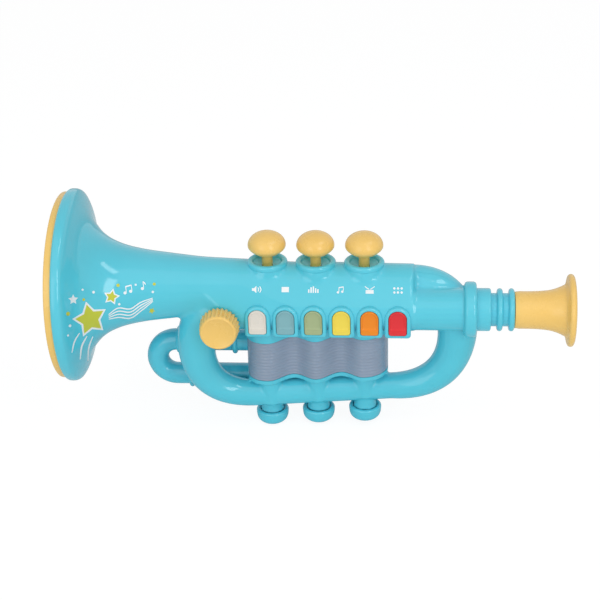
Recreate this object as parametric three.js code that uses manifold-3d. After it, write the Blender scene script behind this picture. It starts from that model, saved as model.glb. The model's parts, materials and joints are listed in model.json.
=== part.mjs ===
// Toy horn: a battery toy trumpet. Millimetres, +X from bell to mouthpiece, +Z up, front side at -Y.
// Inside the horn group x = 0 is the middle valve, y = 0 the seam and z = 0 the axis of the bell.

import * as THREE from 'three';
import { mergeVertices } from 'three/addons/utils/BufferGeometryUtils.js';
import Module from 'manifold-3d';

const wasm = await Module();
wasm.setup();

// Shared fits
const wall = 2.2;
const thinWall = 1;
const fitGap = 0.3;
const overrun = 1;
const weldDistance = 1e-4;

// Numbers of sides and steps
const bellSides = 28;
const bodySides = 20;
const tubeSides = 12;
const hiddenSides = 8;
const smallSides = 12;
const bossSides = 8;
const holeSides = 8;
const bowRings = 5;
const bendSteps = 6;
const cornerSteps = 2;
const archSteps = 6;
const domeSteps = 4;

// Bell
const bellRimRadius = 64.7;
const bellThroatRadius = 20;
const bellEndX = -80;
const bellLength = 80;
const bellBandLength = 5.6;
const bellBackX = bellEndX - bellLength;
const bellFrontX = bellBackX - bellBandLength;
const bellPlugLength = 9;
// Each pair is the share of the way from throat to rim and the share of the growth in radius.
const bellFlareShares = [
  [0.438, 0.098], [0.613, 0.17], [0.738, 0.266], [0.813, 0.365],
  [0.863, 0.468], [0.9, 0.564], [0.944, 0.779], [0.979, 0.955],
];
const ringThickness = 4.5;
const ringSetback = 2.5;
const ringWidth = 10.2;
const ringFrontX = bellFrontX - ringThickness;
const ringFrontRadius = bellRimRadius - ringSetback;
const ringOpeningRadius = bellRimRadius - ringWidth;
const ringLip = 1.5;
const ringPlugLength = 3.8;

// Body tube, lead pipe and loop
const tubeRadii = { start: bellThroatRadius, left: 18.3, middle: 16.6, right: 15.9 };
const fairingStartX = -74;
const fairingFullX = -60;
const fairingEndX = 65;
// How far the body tube has tapered at the start and at the end of the fairing, and the pipe's share of radius there.
const fairingTaperShares = [0.3, 0.7];
const fairingPipeShares = [0.33, 0.67];
const fairingStep = 0.5;
const leadY = -9;
const leadZ = -11.4;
const leadRadius = 14.2;
const leadEndX = 106.1;
const flangeRadius = 18.5;
const flangeLength = 8.1;
const flangeRounding = 2;
const bowFullness = 0.64;
const leftBow = { x: -81.4, z: -40.2, startX: -55, endX: -44, radius: 12.8 };
const rightBow = { x: 94.3, z: -30, startX: 62, endX: 50, radius: 13.4, topRadius: 14.6 };
const barLeft = { y: -5.5, z: -78.8, radius: 9.2 };
const barRight = { y: 0, z: -75, radius: 9 };

// Valves: pitch, the rise of everything under the keys towards the mouthpiece
const valvePitch = 32.1;
const valveCount = 3;
const lowerRiseShare = 0.058;
const collarRadius = 13.4;
const collarTopZ = 19;
const collarRounding = 2.4;
const collarBaseZ = 8;
const recessRadius = 9.6;
const recessFloorZ = 12.6;
const sleeveRadius = 11.4;
const guideThickness = 2.8;
const stemRadius = 3.6;
const capRadius = 12.6;
const capEquatorZ = 30.5;
const capDomeHeight = 9.2;
const capUnderHeight = 7.6;
// Each pair is a share of the cap's radius and a share of the height of its underside.
const capUnderShares = [[0.62, 0.72], [0.92, 0.34]];
const valveTravel = 6;
const stopRadius = 6.2;
const stopThickness = 1.5;
const pinRadius = 2;
const pinLength = 3.2;
const columnRadius = 8.2;
const columnBottomZ = -88.2;
const bottomCapRadius = 10.7;
const bottomCapZ = -101.6;
const bottomCapFlatRadius = 5.5;
const bottomCapBeadZ = -92.6;
const bottomCapBead = 0.5;
const bottomCapTopRadius = 8.8;
// Each pair is a share of the growth in radius and a share of the height below the bead.
const bottomCapShares = [[0.6, 0.14], [0.9, 0.44]];
const bottomCapShoulderShare = 0.6;
const bottomPlugLength = 3.6;

// Valve block with skirt, light casing and band
const blockHalfWidth = 48;
const lobeDepth = 16.5;
const valleyDepth = 7.6;
const skirtBottomZ = -33.2;
const bandTopZ = -61.3;
const blockBottomZ = -65.4;
const blockTopZ = -22;
const casingWall = 1.6;
const casingLip = 2.4;
const waveSteps = 3;
const blockEndShare = 0.9;

// Battery bay at the rear
const bayTopZ = -5;
const bayBottomZ = -82.5;
const bayCorner = 9;
const bayEdge = 4;
const cellRadius = 7.1;
const cellLength = 49.5;
const bayMargin = 22.75;
const bayHalfWidth = cellLength / 2 + bayMargin;
const cellTipRadius = 2.7;
const cellTipLength = 1;
const cellPitch = 15.4;
const cellCount = 3;
const cellY = 12.4;
const doorSpace = 3.5;
const bayDepth = cellY + cellRadius + doorSpace;
const cellMiddleZ = -55;
const trayMiddleX = -4;
const trayWall = 1.5;
const trayClearance = 0.4;
const contactSpace = 4.2;
const contactThickness = 0.6;
const contactWidth = 9;
const contactTipRadius = 3.2;
const doorSideMargin = 12.25;
const doorWidth = cellLength + 2 * doorSideMargin;
const doorHeight = 51;
const doorMiddleX = 1;
const doorThickness = 2;
const doorCorner = 4;
const doorLip = 1.6;
const doorScrewInset = 4.6;

// Keys and their frames
const keyCount = 6;
const keyPitch = 18.45;
const firstKeyX = -37.7;
const keyMiddleZ = -15.1;
const keyWidth = 12.1;
const keyHeight = 19;
const keyFrontY = -26;
const keyBodyDepth = 5;
const keyCorner = 1.8;
const keyFlange = 0.8;
const keyFlangeDepth = 1.1;
const keyDish = 0.6;
const keyRim = 1.3;
const keyPostRadius = 2.2;
const keyTravel = 1.2;
const frameFrontY = -25.3;
const frameBackY = -8;
const frameWidth = 15.9;
const frameHeight = 24.8;
const frameMiddleZ = -13.3;
const frameCorner = 1.6;
const frameWall = 3.9;
const frameRounding = 0.9;

// Knob
const knobX = -62.6;
const knobZ = -17;
const knobBaseY = -25.2;
const knobFaceY = -36.8;
const knobBaseRadius = 13.4;
const knobFaceRadius = 11.4;
const knobEdge = 1.1;
const knobRibs = 27;
const knobRibDepth = 0.7;
const knobShaftRadius = 3;
const knobBossRadius = 7.5;

// Slide tube behind the loop
const slideY = 12.1;
const slideTopZ = -47.3;
const slideBottomZ = -73.9;
const slideRadius = 7.5;
const slideBendX = -98.6;
const slideEntry = 2.3;
const slideEndX = slideEntry - bayHalfWidth;
const slideBeadRadius = 9.6;
const slideBeadLength = 3.4;
const slideUpperBeadInset = 2.6;
const slideLowerBeadInset = 10.1;
const slideEndBeadInset = 12.2;
const slideBeads = [
  { x: slideBendX + slideUpperBeadInset, z: slideTopZ },
  { x: slideEndX - slideEndBeadInset, z: slideTopZ },
  { x: slideBendX + slideLowerBeadInset, z: slideBottomZ },
];

// Neck and mouthpiece
const neckRadius = 14.2;
const neckPlugLength = 12;
const neckPlainLength = 9;
const neckCoreRadius = 11;
const neckRibLength = 3.8;
const neckRibCount = 2;
const neckLength = 24.7;
const neckEndX = leadEndX + neckLength;
const neckBoreRadius = 8.3;
const mouthTubeRadius = 12.4;
const mouthRimRadius = 24.4;
const mouthRimThickness = 5.4;
const mouthLength = 38.8;
const mouthEndX = neckEndX + fitGap + mouthLength;
const mouthBoreRadius = 4.5;
const mouthPlugLength = 12;
const mouthCupRadius = 19.5;
const mouthCupDepth = 15;
const mouthCupWaistShare = 0.62;
// Each pair is the share of the way from the tube to the rim and the share of the growth in radius.
const mouthFlareShares = [[0.35, 0.02], [0.6, 0.08], [0.72, 0.17], [0.84, 0.29], [0.95, 0.44]];

// Inner parts
const boardThickness = 1.5;
const mainBoard = { left: -51, right: 66.5, bottom: -21, top: -2.4, frontY: -13.7 };
const padThickness = 1;
const domeHeight = 0.6;
const domeRadius = 3.2;
const chipRadius = 6;
const chipHeight = 1.6;
const postRadius = 2;
const valveBoardInset = 3.5;
const valveBoard = { halfWidth: bayHalfWidth - valveBoardInset, halfDepth: 8, topZ: -6 };
const switchSize = 5;
const springRadius = 5;
const springWire = 0.9;
const springTurns = 4;
const springSteps = 6;
const springSides = 4;
const ribThickness = 2;
const ribInset = 5.5;
const lightBoardY = -2.9;
const reflectorY = -4.3;
const reflectorThickness = 1;
const ledRadius = 2.5;
const ledLength = 5.5;
const lampInset = 5;
const lampHalfWidth = blockHalfWidth - lampInset;
const lampTopZ = -36.5;
const rotaryRadius = 4.5;
const rotaryDepth = 6;
const rotaryFrontY = -11;
const speakerInset = 27.4;
const speakerFrontX = bellBackX + speakerInset;
const speakerRim = 3;
const speakerMagnetRadius = 11;
const speakerMagnetLength = 6;
const speakerDepth = 15;
const grilleStandoff = 4.9;
const grilleThickness = 2;
const grilleClearance = 1.2;
const grilleBorder = 3.2;
const grilleX = speakerFrontX - grilleStandoff;
const grilleRadius = bellRadiusAt(grilleX) - wall - grilleClearance;
const speakerRadius = grilleRadius - grilleBorder;
const grilleSlots = 7;
const grilleSlotWidth = 2.4;
// How far the outermost slots stand out, as a share of the reach of the slots.
const grilleSpreadShare = 0.885;
const leadWidth = 2.8;
const leadThickness = 1.4;
const leadTrayGap = 2.05;
const screwHeadRadius = 2.9;
const screwHeadHeight = 2.2;
const screwRadius = 1.5;
const bossRadius = 4;
const screwPilotRadius = 1.3;
const screwReach = 6.5;
const screwSeat = 3;
const bellScrew = { x: -66, z: 5, rearY: 18.8, frontY: -17.5 };
const bowTopScrew = { x: 58, z: 3, rearY: 15.9, frontY: -14.2 };
const bowScrew = { x: rightBow.x, z: -34, rearY: 13.2, frontY: -12.2 };
const screwTrayGap = 5.65;
const barScrewLeft = { x: trayLeft() - screwTrayGap, z: -77.4, rearY: bayDepth, frontY: -12 };
const screwBaySideGap = 5.5;
const barScrewRight = { x: bayHalfWidth - screwBaySideGap, z: -75.4, rearY: bayDepth, frontY: -8.6 };
const housingScrews = [bellScrew, bowTopScrew, bowScrew, barScrewLeft, barScrewRight];

// Finishes
const finish = {
  blue: { color: 0x62c5d9, roughness: 0.22, metalness: 0 },
  yellow: { color: 0xeec277, roughness: 0.3, metalness: 0 },
  casing: { color: 0x93a2b4, roughness: 0.25, metalness: 0, transparent: true, opacity: 0.85 },
  white: { color: 0xf1eee6, roughness: 0.4, metalness: 0 },
  black: { color: 0x1c1c1e, roughness: 0.6, metalness: 0 },
  board: { color: 0x2f6b3a, roughness: 0.5, metalness: 0 },
  rubber: { color: 0x9a9a98, roughness: 0.8, metalness: 0 },
  steel: { color: 0xb9bcc0, roughness: 0.35, metalness: 1 },
  cell: { color: 0x3d5a80, roughness: 0.4, metalness: 0 },
  wire: { color: 0xb03030, roughness: 0.5, metalness: 0 },
};
const keyColors = [0xe4ddd0, 0x86b6bb, 0xaab88d, 0xf1dc5c, 0xef8c21, 0xe5393c];

// Mesh helpers

// Joins equal corners, drops collapsed triangles and turns the faces outwards.
function closed(geometry) {
  const bare = geometry.clone();
  for (const name of ['normal', 'uv']) {
    bare.deleteAttribute(name);
  }
  const merged = mergeVertices(bare, weldDistance);
  const source = merged.index.array;
  const position = merged.attributes.position;
  const corner = [new THREE.Vector3(), new THREE.Vector3(), new THREE.Vector3()];
  const kept = [];
  let volume = 0;
  for (let i = 0; i < source.length; i += 3) {
    const [a, b, c] = source.slice(i, i + 3);
    if (a === b || b === c || a === c) {
      continue;
    }
    [a, b, c].forEach((vertex, k) => corner[k].fromBufferAttribute(position, vertex));
    volume += corner[0].dot(corner[1].clone().cross(corner[2]));
    kept.push(a, b, c);
  }
  if (volume < 0) {
    kept.reverse();
  }
  merged.setIndex(new THREE.BufferAttribute(new Uint32Array(kept), 1));
  return merged;
}

function solid(geometry) {
  const shape = closed(geometry);
  const vertProperties = new Float32Array(shape.attributes.position.array);
  return new wasm.Manifold(new wasm.Mesh({ numProp: 3, vertProperties, triVerts: shape.index.array }));
}

function joined(solids) {
  return solids.reduce((whole, piece) => whole.add(piece));
}

// Leaves out the slivers that a cut along a curved wall can shed.
function mainBody(manifold) {
  return manifold.decompose().reduce((best, body) => (body.volume() > best.volume() ? body : best));
}

function geometryOf(manifold) {
  const mesh = manifold.getMesh();
  const geometry = new THREE.BufferGeometry();
  geometry.setAttribute('position', new THREE.BufferAttribute(new Float32Array(mesh.vertProperties), 3));
  geometry.setIndex(new THREE.BufferAttribute(new Uint32Array(mesh.triVerts), 1));
  geometry.computeVertexNormals();
  return geometry;
}

// Closed body through rings of equally many points, capped by fans at both ends.
function loft(rings) {
  const count = rings[0].length;
  const points = rings.flat();
  const index = [];
  for (let ring = 0; ring < rings.length - 1; ring += 1) {
    for (let k = 0; k < count; k += 1) {
      const a = ring * count + k;
      const b = ring * count + ((k + 1) % count);
      index.push(a, b, b + count, a, b + count, a + count);
    }
  }
  const last = (rings.length - 1) * count;
  for (let k = 1; k < count - 1; k += 1) {
    index.push(0, k + 1, k, last, last + k, last + k + 1);
  }
  const geometry = new THREE.BufferGeometry().setFromPoints(points);
  geometry.setIndex(index);
  return geometry;
}

// Body of revolution about a line along X, from pairs of x and radius.
function turnedX(profile, segments, y = 0, z = 0) {
  const points = profile.map(([x, radius]) => new THREE.Vector2(radius, x));
  const geometry = new THREE.LatheGeometry(points, segments);
  geometry.rotateZ(-Math.PI / 2);
  return geometry.translate(0, y, z);
}

// Body of revolution about a line along Z, from pairs of radius and z.
function turnedZ(profile, segments, x = 0, y = 0) {
  const points = profile.map(([radius, z]) => new THREE.Vector2(radius, z));
  const geometry = new THREE.LatheGeometry(points, segments);
  geometry.rotateX(Math.PI / 2);
  return geometry.translate(x, y, 0);
}

function rodZ(radius, bottom, top, segments, x = 0, y = 0) {
  return turnedZ([[0, bottom], [radius, bottom], [radius, top], [0, top]], segments, x, y);
}

function rodY(radius, front, back, segments, x, z) {
  const geometry = new THREE.CylinderGeometry(radius, radius, back - front, segments);
  return geometry.translate(x, (front + back) / 2, z);
}

function rodX(radius, left, right, segments, y, z) {
  return turnedX([[left, 0], [left, radius], [right, radius], [right, 0]], segments, y, z);
}

function block(left, right, front, back, bottom, top) {
  const geometry = new THREE.BoxGeometry(right - left, back - front, top - bottom);
  return geometry.translate((left + right) / 2, (front + back) / 2, (bottom + top) / 2);
}

// Plate whose outline lies in X and Z, between two planes of y.
function plate(shape, front, back, options = {}) {
  const geometry = new THREE.ExtrudeGeometry(shape, { depth: back - front, bevelEnabled: false, ...options });
  geometry.rotateX(Math.PI / 2);
  return geometry.translate(0, back, 0);
}

function arcPoints(x, y, radius, start, end, steps) {
  const points = [];
  for (let k = 0; k <= steps; k += 1) {
    const angle = THREE.MathUtils.lerp(start, end, k / steps);
    points.push(new THREE.Vector2(x + radius * Math.cos(angle), y + radius * Math.sin(angle)));
  }
  return points;
}

function circleOutline(radius, sides) {
  return new THREE.Shape(arcPoints(0, 0, radius, 0, 2 * Math.PI, sides).slice(0, sides));
}

function roundedOutline(left, right, bottom, top, radius) {
  const turn = Math.PI / 2;
  return new THREE.Shape([
    ...arcPoints(right - radius, top - radius, radius, 0, turn, cornerSteps),
    ...arcPoints(left + radius, top - radius, radius, turn, 2 * turn, cornerSteps),
    ...arcPoints(left + radius, bottom + radius, radius, 2 * turn, 3 * turn, cornerSteps),
    ...arcPoints(right - radius, bottom + radius, radius, 3 * turn, 4 * turn, cornerSteps),
  ]);
}

// Outline with a half-round top and small lower corners, as the keys and their frames have.
function archOutline(x, z, width, height, corner) {
  const half = width / 2;
  const foot = z - height / 2 + corner;
  return new THREE.Shape([
    ...arcPoints(x, z + height / 2 - half, half, 0, Math.PI, archSteps),
    ...arcPoints(x - half + corner, foot, corner, Math.PI, 1.5 * Math.PI, 1),
    ...arcPoints(x + half - corner, foot, corner, 1.5 * Math.PI, 2 * Math.PI, 1),
  ]);
}

// Lifts every point by its share of the distance along X.
function risen(geometry) {
  const position = geometry.attributes.position;
  for (let i = 0; i < position.count; i += 1) {
    position.setZ(i, position.getZ(i) + lowerRiseShare * position.getX(i));
  }
  return geometry;
}

// Moves an open outline sideways, to the left of its direction for a positive distance.
function offsetLine(line, distance) {
  return line.map((point, i) => {
    const before = line[Math.max(i - 1, 0)];
    const after = line[Math.min(i + 1, line.length - 1)];
    const run = new THREE.Vector2(after[0] - before[0], after[1] - before[1]).normalize();
    return [point[0] - run.y * distance, point[1] + run.x * distance];
  });
}

function swept(outline, points) {
  const extrudePath = new THREE.CatmullRomCurve3(points);
  return new THREE.ExtrudeGeometry(outline, { steps: points.length - 1, extrudePath });
}

// Bell and its ring

// Radius of the outside of the flare at a station.
function bellRadiusAt(x) {
  const along = (x - bellEndX) / (bellBackX - bellEndX);
  const line = [[0, 0], ...bellFlareShares, [1, 1]];
  const after = line.findIndex(([share]) => share > along);
  const [from, grownFrom] = line[after - 1];
  const [to, grownTo] = line[after];
  const growth = THREE.MathUtils.mapLinear(along, from, to, grownFrom, grownTo);
  return THREE.MathUtils.lerp(bellThroatRadius, bellRimRadius, growth);
}

function bellOutline() {
  const flare = bellFlareShares.map(([along, growth]) => [
    THREE.MathUtils.lerp(bellEndX, bellBackX, along),
    THREE.MathUtils.lerp(bellThroatRadius, bellRimRadius, growth),
  ]);
  return [[bellEndX, bellThroatRadius], ...flare, [bellBackX, bellRimRadius], [bellFrontX, bellRimRadius]];
}

// The outline runs towards the rim, so the right-hand side of it is the outside of the flare.
function bellGeometry(segments) {
  const outer = bellOutline();
  const inner = offsetLine(outer, wall).reverse();
  inner[0] = [bellFrontX, bellRimRadius - wall];
  inner[1] = [bellBackX - wall / 2, bellRimRadius - wall];
  inner.pop();
  const plugRadius = bellThroatRadius - wall - 2 * fitGap;
  const plugEndRadius = tubeRadii.left - wall - 2 * fitGap;
  const plugEnd = bellEndX + bellPlugLength;
  const throat = bellEndX - fitGap;
  const plug = [
    [throat, plugEndRadius - wall],
    [plugEnd, plugEndRadius - wall],
    [plugEnd, plugEndRadius],
    [throat, plugRadius],
    [throat, bellThroatRadius],
  ];
  outer[0] = plug.at(-1);
  return turnedX([...outer, ...inner, ...plug], segments);
}

function ringGeometry(segments) {
  const back = bellFrontX - fitGap;
  const plugRadius = bellRimRadius - wall - fitGap;
  const plugEnd = bellFrontX + ringPlugLength;
  const profile = [
    [ringFrontX + ringLip, ringOpeningRadius],
    [ringFrontX, ringOpeningRadius + ringLip],
    [ringFrontX, ringFrontRadius],
    [ringFrontX + ringLip, bellRimRadius - ringLip / 2],
    [back, bellRimRadius],
    [back, plugRadius],
    [plugEnd, plugRadius],
    [plugEnd, plugRadius - wall],
    [back, plugRadius - wall],
    [back, ringOpeningRadius],
    [ringFrontX + ringLip, ringOpeningRadius],
  ];
  return turnedX(profile, segments);
}

// Everything that the bell fills, with the clearance that the loop keeps to it.
function bellSpace(segments) {
  const outer = offsetLine(bellOutline(), -fitGap);
  outer[0] = [bellEndX, bellThroatRadius + fitGap];
  return turnedX([[bellEndX, 0], ...outer, [bellFrontX, 0]], segments);
}

// Tubes of the body

// Convex ring around the body tube and the lead pipe at one station.
function bodyRing(x, tubeRadius, pipeRadius, count) {
  const ring = [];
  for (let k = 0; k < count; k += 1) {
    const angle = (2 * Math.PI * k) / count;
    const direction = new THREE.Vector2(Math.cos(angle), Math.sin(angle));
    const pipeReach = direction.x * leadY + direction.y * leadZ + pipeRadius;
    const onPipe = pipeReach > tubeRadius;
    const radius = onPipe ? pipeRadius : tubeRadius;
    const y = direction.x * radius + (onPipe ? leadY : 0);
    const z = direction.y * radius + (onPipe ? leadZ : 0);
    ring.push(new THREE.Vector3(x, y, z));
  }
  return ring;
}

function bodyTube(inset, sides) {
  const fullPipe = leadRadius + fairingStep;
  const [startPipe, nextPipe] = fairingPipeShares.map((share) => leadRadius * share);
  const [nextTube, fullTube] = fairingTaperShares.map(
    (share) => THREE.MathUtils.lerp(tubeRadii.start, tubeRadii.left, share),
  );
  const stations = [
    [bellEndX, tubeRadii.start, startPipe],
    [fairingStartX, nextTube, nextPipe],
    [fairingFullX, fullTube, fullPipe],
    [-valvePitch * 1.5, tubeRadii.left, fullPipe],
    [-valvePitch / 2, tubeRadii.middle, fullPipe],
    [valvePitch / 2, tubeRadii.middle, fullPipe],
    [fairingEndX, tubeRadii.right, fullPipe],
  ];
  const first = inset > 0 ? -overrun : 0;
  const last = inset > 0 ? -inset : 0;
  const rings = stations.map(([x, tubeRadius, pipeRadius], i) => {
    const shift = (i === 0 ? first : 0) + (i === stations.length - 1 ? last : 0);
    return bodyRing(x + shift, tubeRadius - inset, pipeRadius - inset, sides);
  });
  return loft(rings);
}

// Stations of the tube that runs from the neck to the left bow, along the bar and up the right bow.
function loopStations() {
  const corners = [
    { at: [leadEndX, leadY, leadZ], radius: leadRadius },
    { at: [leftBow.startX, leadY, leadZ], radius: leadRadius },
    { at: [leftBow.x, leadY, leftBow.z], radius: leftBow.radius, turn: 'out' },
    { at: [leftBow.endX, barLeft.y, barLeft.z], radius: barLeft.radius, turn: 'in' },
    { at: [rightBow.endX, barRight.y, barRight.z], radius: barRight.radius },
    { at: [rightBow.x, 0, rightBow.z], radius: rightBow.radius, turn: 'out' },
    { at: [rightBow.startX, 0, 0], radius: rightBow.topRadius, turn: 'in' },
  ];
  const stations = [{ point: new THREE.Vector3(...corners[0].at), radius: corners[0].radius }];
  for (let i = 1; i < corners.length; i += 1) {
    const from = new THREE.Vector3(...corners[i - 1].at);
    const to = new THREE.Vector3(...corners[i].at);
    const along = to.clone().sub(from);
    const flat = new THREE.Vector3(along.x * bowFullness, 0, 0);
    const steep = new THREE.Vector3(0, 0, along.z * bowFullness);
    const outward = corners[i].turn === 'out';
    const curve = corners[i].turn
      ? new THREE.CubicBezierCurve3(
        from,
        from.clone().add(outward ? flat : steep),
        to.clone().sub(outward ? steep : flat),
        to,
      )
      : new THREE.LineCurve3(from, to);
    const steps = corners[i].turn ? bowRings : 1;
    for (let k = 1; k <= steps; k += 1) {
      const share = k / steps;
      const radius = THREE.MathUtils.lerp(corners[i - 1].radius, corners[i].radius, share);
      stations.push({ point: curve.getPoint(share), radius });
    }
  }
  return stations;
}

function loopTube(inset, sides) {
  const stations = loopStations();
  const depthAxis = new THREE.Vector3(0, 1, 0);
  const rings = stations.map((station, i) => {
    const before = stations[Math.max(i - 1, 0)].point;
    const after = stations[Math.min(i + 1, stations.length - 1)].point;
    const run = after.clone().sub(before).normalize();
    const deep = depthAxis.clone().addScaledVector(run, -run.y).normalize();
    const across = run.clone().cross(deep);
    const centre = station.point.clone();
    if (inset > 0 && i === 0) {
      centre.addScaledVector(run, -overrun);
    }
    const ring = [];
    for (let k = 0; k < sides; k += 1) {
      const angle = (2 * Math.PI * k) / sides;
      ring.push(
        centre.clone()
          .addScaledVector(deep, Math.cos(angle) * (station.radius - inset))
          .addScaledVector(across, Math.sin(angle) * (station.radius - inset)),
      );
    }
    return ring;
  });
  // The right bow passes through the lead pipe, so the two halves of the loop are lofted apart and merged.
  const middle = 1 + 2 * bowRings;
  return solid(loft(rings.slice(0, middle + 1))).add(solid(loft(rings.slice(middle))));
}

// Valve block

// Front line of the block from left to right: a round lobe at each end and a wave between them.
function lobeLine(inset) {
  const line = [];
  const outerLobe = blockHalfWidth - valvePitch;
  for (let k = 0; k <= waveSteps; k += 1) {
    const angle = (Math.PI / 2) * (k / waveSteps);
    line.push([-valvePitch - outerLobe * Math.cos(angle), -lobeDepth * Math.sin(angle)]);
  }
  const swing = (lobeDepth - valleyDepth) / 2;
  const steps = 2 * waveSteps * (valveCount - 1);
  for (let k = 1; k < steps; k += 1) {
    const x = -valvePitch + (valvePitch * (valveCount - 1) * k) / steps;
    line.push([x, -(valleyDepth + swing) - swing * Math.cos((2 * Math.PI * x) / valvePitch)]);
  }
  const right = line.slice(0, waveSteps + 1).map(([x, y]) => [-x, y]).reverse();
  return offsetLine([...line, ...right], inset);
}

// An inset turns the ends of the front line back, and they stop short of the back of the block.
function blockOutline(inset, back) {
  const line = lobeLine(inset);
  const endY = Math.min(line[0][1], blockEndShare * back);
  line[0][1] = endY;
  line.at(-1)[1] = endY;
  const shape = new THREE.Shape(line.map(([x, y]) => new THREE.Vector2(x, y)));
  shape.lineTo(line.at(-1)[0], back);
  shape.lineTo(line[0][0], back);
  return shape;
}

function prism(shape, bottom, top) {
  const geometry = new THREE.ExtrudeGeometry(shape, { depth: top - bottom, bevelEnabled: false });
  return geometry.translate(0, 0, bottom);
}

// Wall that follows the front line between two insets.
function waveWall(outerInset, innerInset, bottom, top) {
  const outer = lobeLine(outerInset);
  const inner = lobeLine(innerInset).reverse();
  outer[0][1] = 0;
  outer.at(-1)[1] = 0;
  inner[0][1] = 0;
  inner.at(-1)[1] = 0;
  const shape = new THREE.Shape([...outer, ...inner].map(([x, y]) => new THREE.Vector2(x, y)));
  return risen(prism(shape, bottom, top));
}

function valveX(i) {
  return (i - (valveCount - 1) / 2) * valvePitch;
}

function keyX(i) {
  return firstKeyX + i * keyPitch;
}

function bayOutline(inset) {
  return roundedOutline(
    -bayHalfWidth + inset, bayHalfWidth - inset, bayBottomZ + inset, bayTopZ - inset, bayCorner - inset,
  );
}

// Solid of the battery bay with its rear edge bevelled.
function baySolid(inset, front) {
  const back = bayDepth - inset;
  return plate(bayOutline(inset + bayEdge), front, back - bayEdge, {
    bevelEnabled: true, bevelSize: bayEdge, bevelThickness: bayEdge, bevelSegments: 2,
  });
}

const doorOutline = (inset) => roundedOutline(
  doorMiddleX - doorWidth / 2 + inset,
  doorMiddleX + doorWidth / 2 - inset,
  cellMiddleZ - doorHeight / 2 + inset,
  cellMiddleZ + doorHeight / 2 - inset,
  doorCorner - inset,
);
const doorScrewX = doorMiddleX + doorWidth / 2 - doorScrewInset;

// The two shells

function shellOutside() {
  const parts = [solid(bodyTube(0, bodySides)), loopTube(0, tubeSides)];
  const flangeEnd = leadEndX;
  const flangeStart = leadEndX - flangeLength;
  parts.push(solid(turnedX([
    [flangeStart, 0],
    [flangeStart, flangeRadius - flangeRounding],
    [flangeStart + flangeRounding, flangeRadius],
    [flangeEnd - flangeRounding, flangeRadius],
    [flangeEnd, flangeRadius - flangeRounding],
    [flangeEnd, 0],
  ], bodySides, leadY, leadZ)));
  parts.push(solid(risen(prism(blockOutline(0, fitGap), blockBottomZ, blockTopZ))));
  parts.push(solid(baySolid(0, 0)));
  parts.push(solid(rodY(knobBossRadius, knobBaseY + 2 * fitGap, leadY, tubeSides, knobX, knobZ)));
  for (let i = 0; i < keyCount; i += 1) {
    const outline = archOutline(
      keyX(i), frameMiddleZ, frameWidth - 2 * frameRounding, frameHeight - 2 * frameRounding,
      frameCorner - frameRounding,
    );
    parts.push(solid(plate(outline, frameFrontY + frameRounding, frameBackY, {
      bevelEnabled: true, bevelSegments: 1, bevelSize: frameRounding, bevelThickness: frameRounding,
    })));
  }
  for (let i = 0; i < valveCount; i += 1) {
    const x = valveX(i);
    parts.push(solid(turnedZ([
      [0, collarBaseZ],
      [collarRadius, collarBaseZ],
      [collarRadius, collarTopZ - collarRounding],
      [collarRadius - collarRounding, collarTopZ],
      [0, collarTopZ],
    ], tubeSides, x)));
    const rise = lowerRiseShare * x;
    parts.push(solid(rodZ(columnRadius, columnBottomZ + rise, blockBottomZ + rise + overrun, tubeSides, x)));
  }
  return joined(parts).subtract(solid(bellSpace(bellSides)));
}

function shellInside() {
  const parts = [solid(bodyTube(wall, smallSides)), loopTube(wall, hiddenSides)];
  const floor = blockBottomZ + thinWall;
  parts.push(solid(risen(prism(blockOutline(thinWall, fitGap), floor, blockTopZ))));
  parts.push(solid(baySolid(wall, wall + bayEdge)));
  const bayInner = bayHalfWidth - wall;
  parts.push(solid(block(
    -bayInner + bayCorner / 2, bayInner - bayCorner / 2, -overrun, bayDepth / 2, floor, bayTopZ - wall,
  )));
  parts.push(solid(block(-bayInner, bayInner, -overrun, bayDepth / 2, floor, bayTopZ - bayCorner)));
  for (let i = 0; i < valveCount; i += 1) {
    const x = valveX(i);
    const rise = lowerRiseShare * x;
    parts.push(solid(rodZ(columnRadius - wall, columnBottomZ + rise - overrun, barRight.z + rise, tubeSides, x)));
  }
  return joined(parts);
}

// Solid pieces that stand in the cavity: valve guides, screw bosses, board posts and ribs.
function innerStands() {
  const parts = [];
  for (let i = 0; i < valveCount; i += 1) {
    parts.push(solid(rodZ(
      sleeveRadius, recessFloorZ - guideThickness, collarTopZ - collarRounding, tubeSides, valveX(i),
    )));
  }
  for (const screw of housingScrews) {
    parts.push(solid(rodY(bossRadius, screw.frontY, screw.rearY - overrun, bossSides, screw.x, screw.z)));
  }
  const boardZ = (mainBoard.bottom + mainBoard.top) / 2;
  for (const x of [mainBoard.left + postRadius, mainBoard.right - postRadius]) {
    parts.push(solid(rodY(postRadius, leadY - leadRadius + wall / 2, mainBoard.frontY - fitGap, bossSides, x, boardZ)));
  }
  parts.push(solid(rodY(
    knobBossRadius, leadY - leadRadius + wall / 2, rotaryFrontY - fitGap, tubeSides, knobX, knobZ,
  )));
  const ribTop = valveBoard.topZ - boardThickness - fitGap;
  const ribBottom = trayOuterTop() + 2 * fitGap;
  const ribX = bayHalfWidth - ribInset;
  for (const side of [-1, 1]) {
    const left = side * ribX - ribThickness / 2;
    parts.push(solid(block(left, left + ribThickness, fitGap, bayDepth - wall / 2, ribBottom, ribTop)));
  }
  const doorFloor = bayDepth - doorThickness - fitGap;
  parts.push(solid(plate(doorOutline(-wall), doorFloor - wall, doorFloor + wall)));
  parts.push(solid(rodY(bossRadius, bayDepth / 2, doorFloor, bossSides, doorScrewX, cellMiddleZ)));
  return joined(parts);
}

function trayOuterTop() {
  return cellMiddleZ + cellPitch * ((cellCount - 1) / 2) + cellRadius + trayClearance + trayWall;
}

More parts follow.
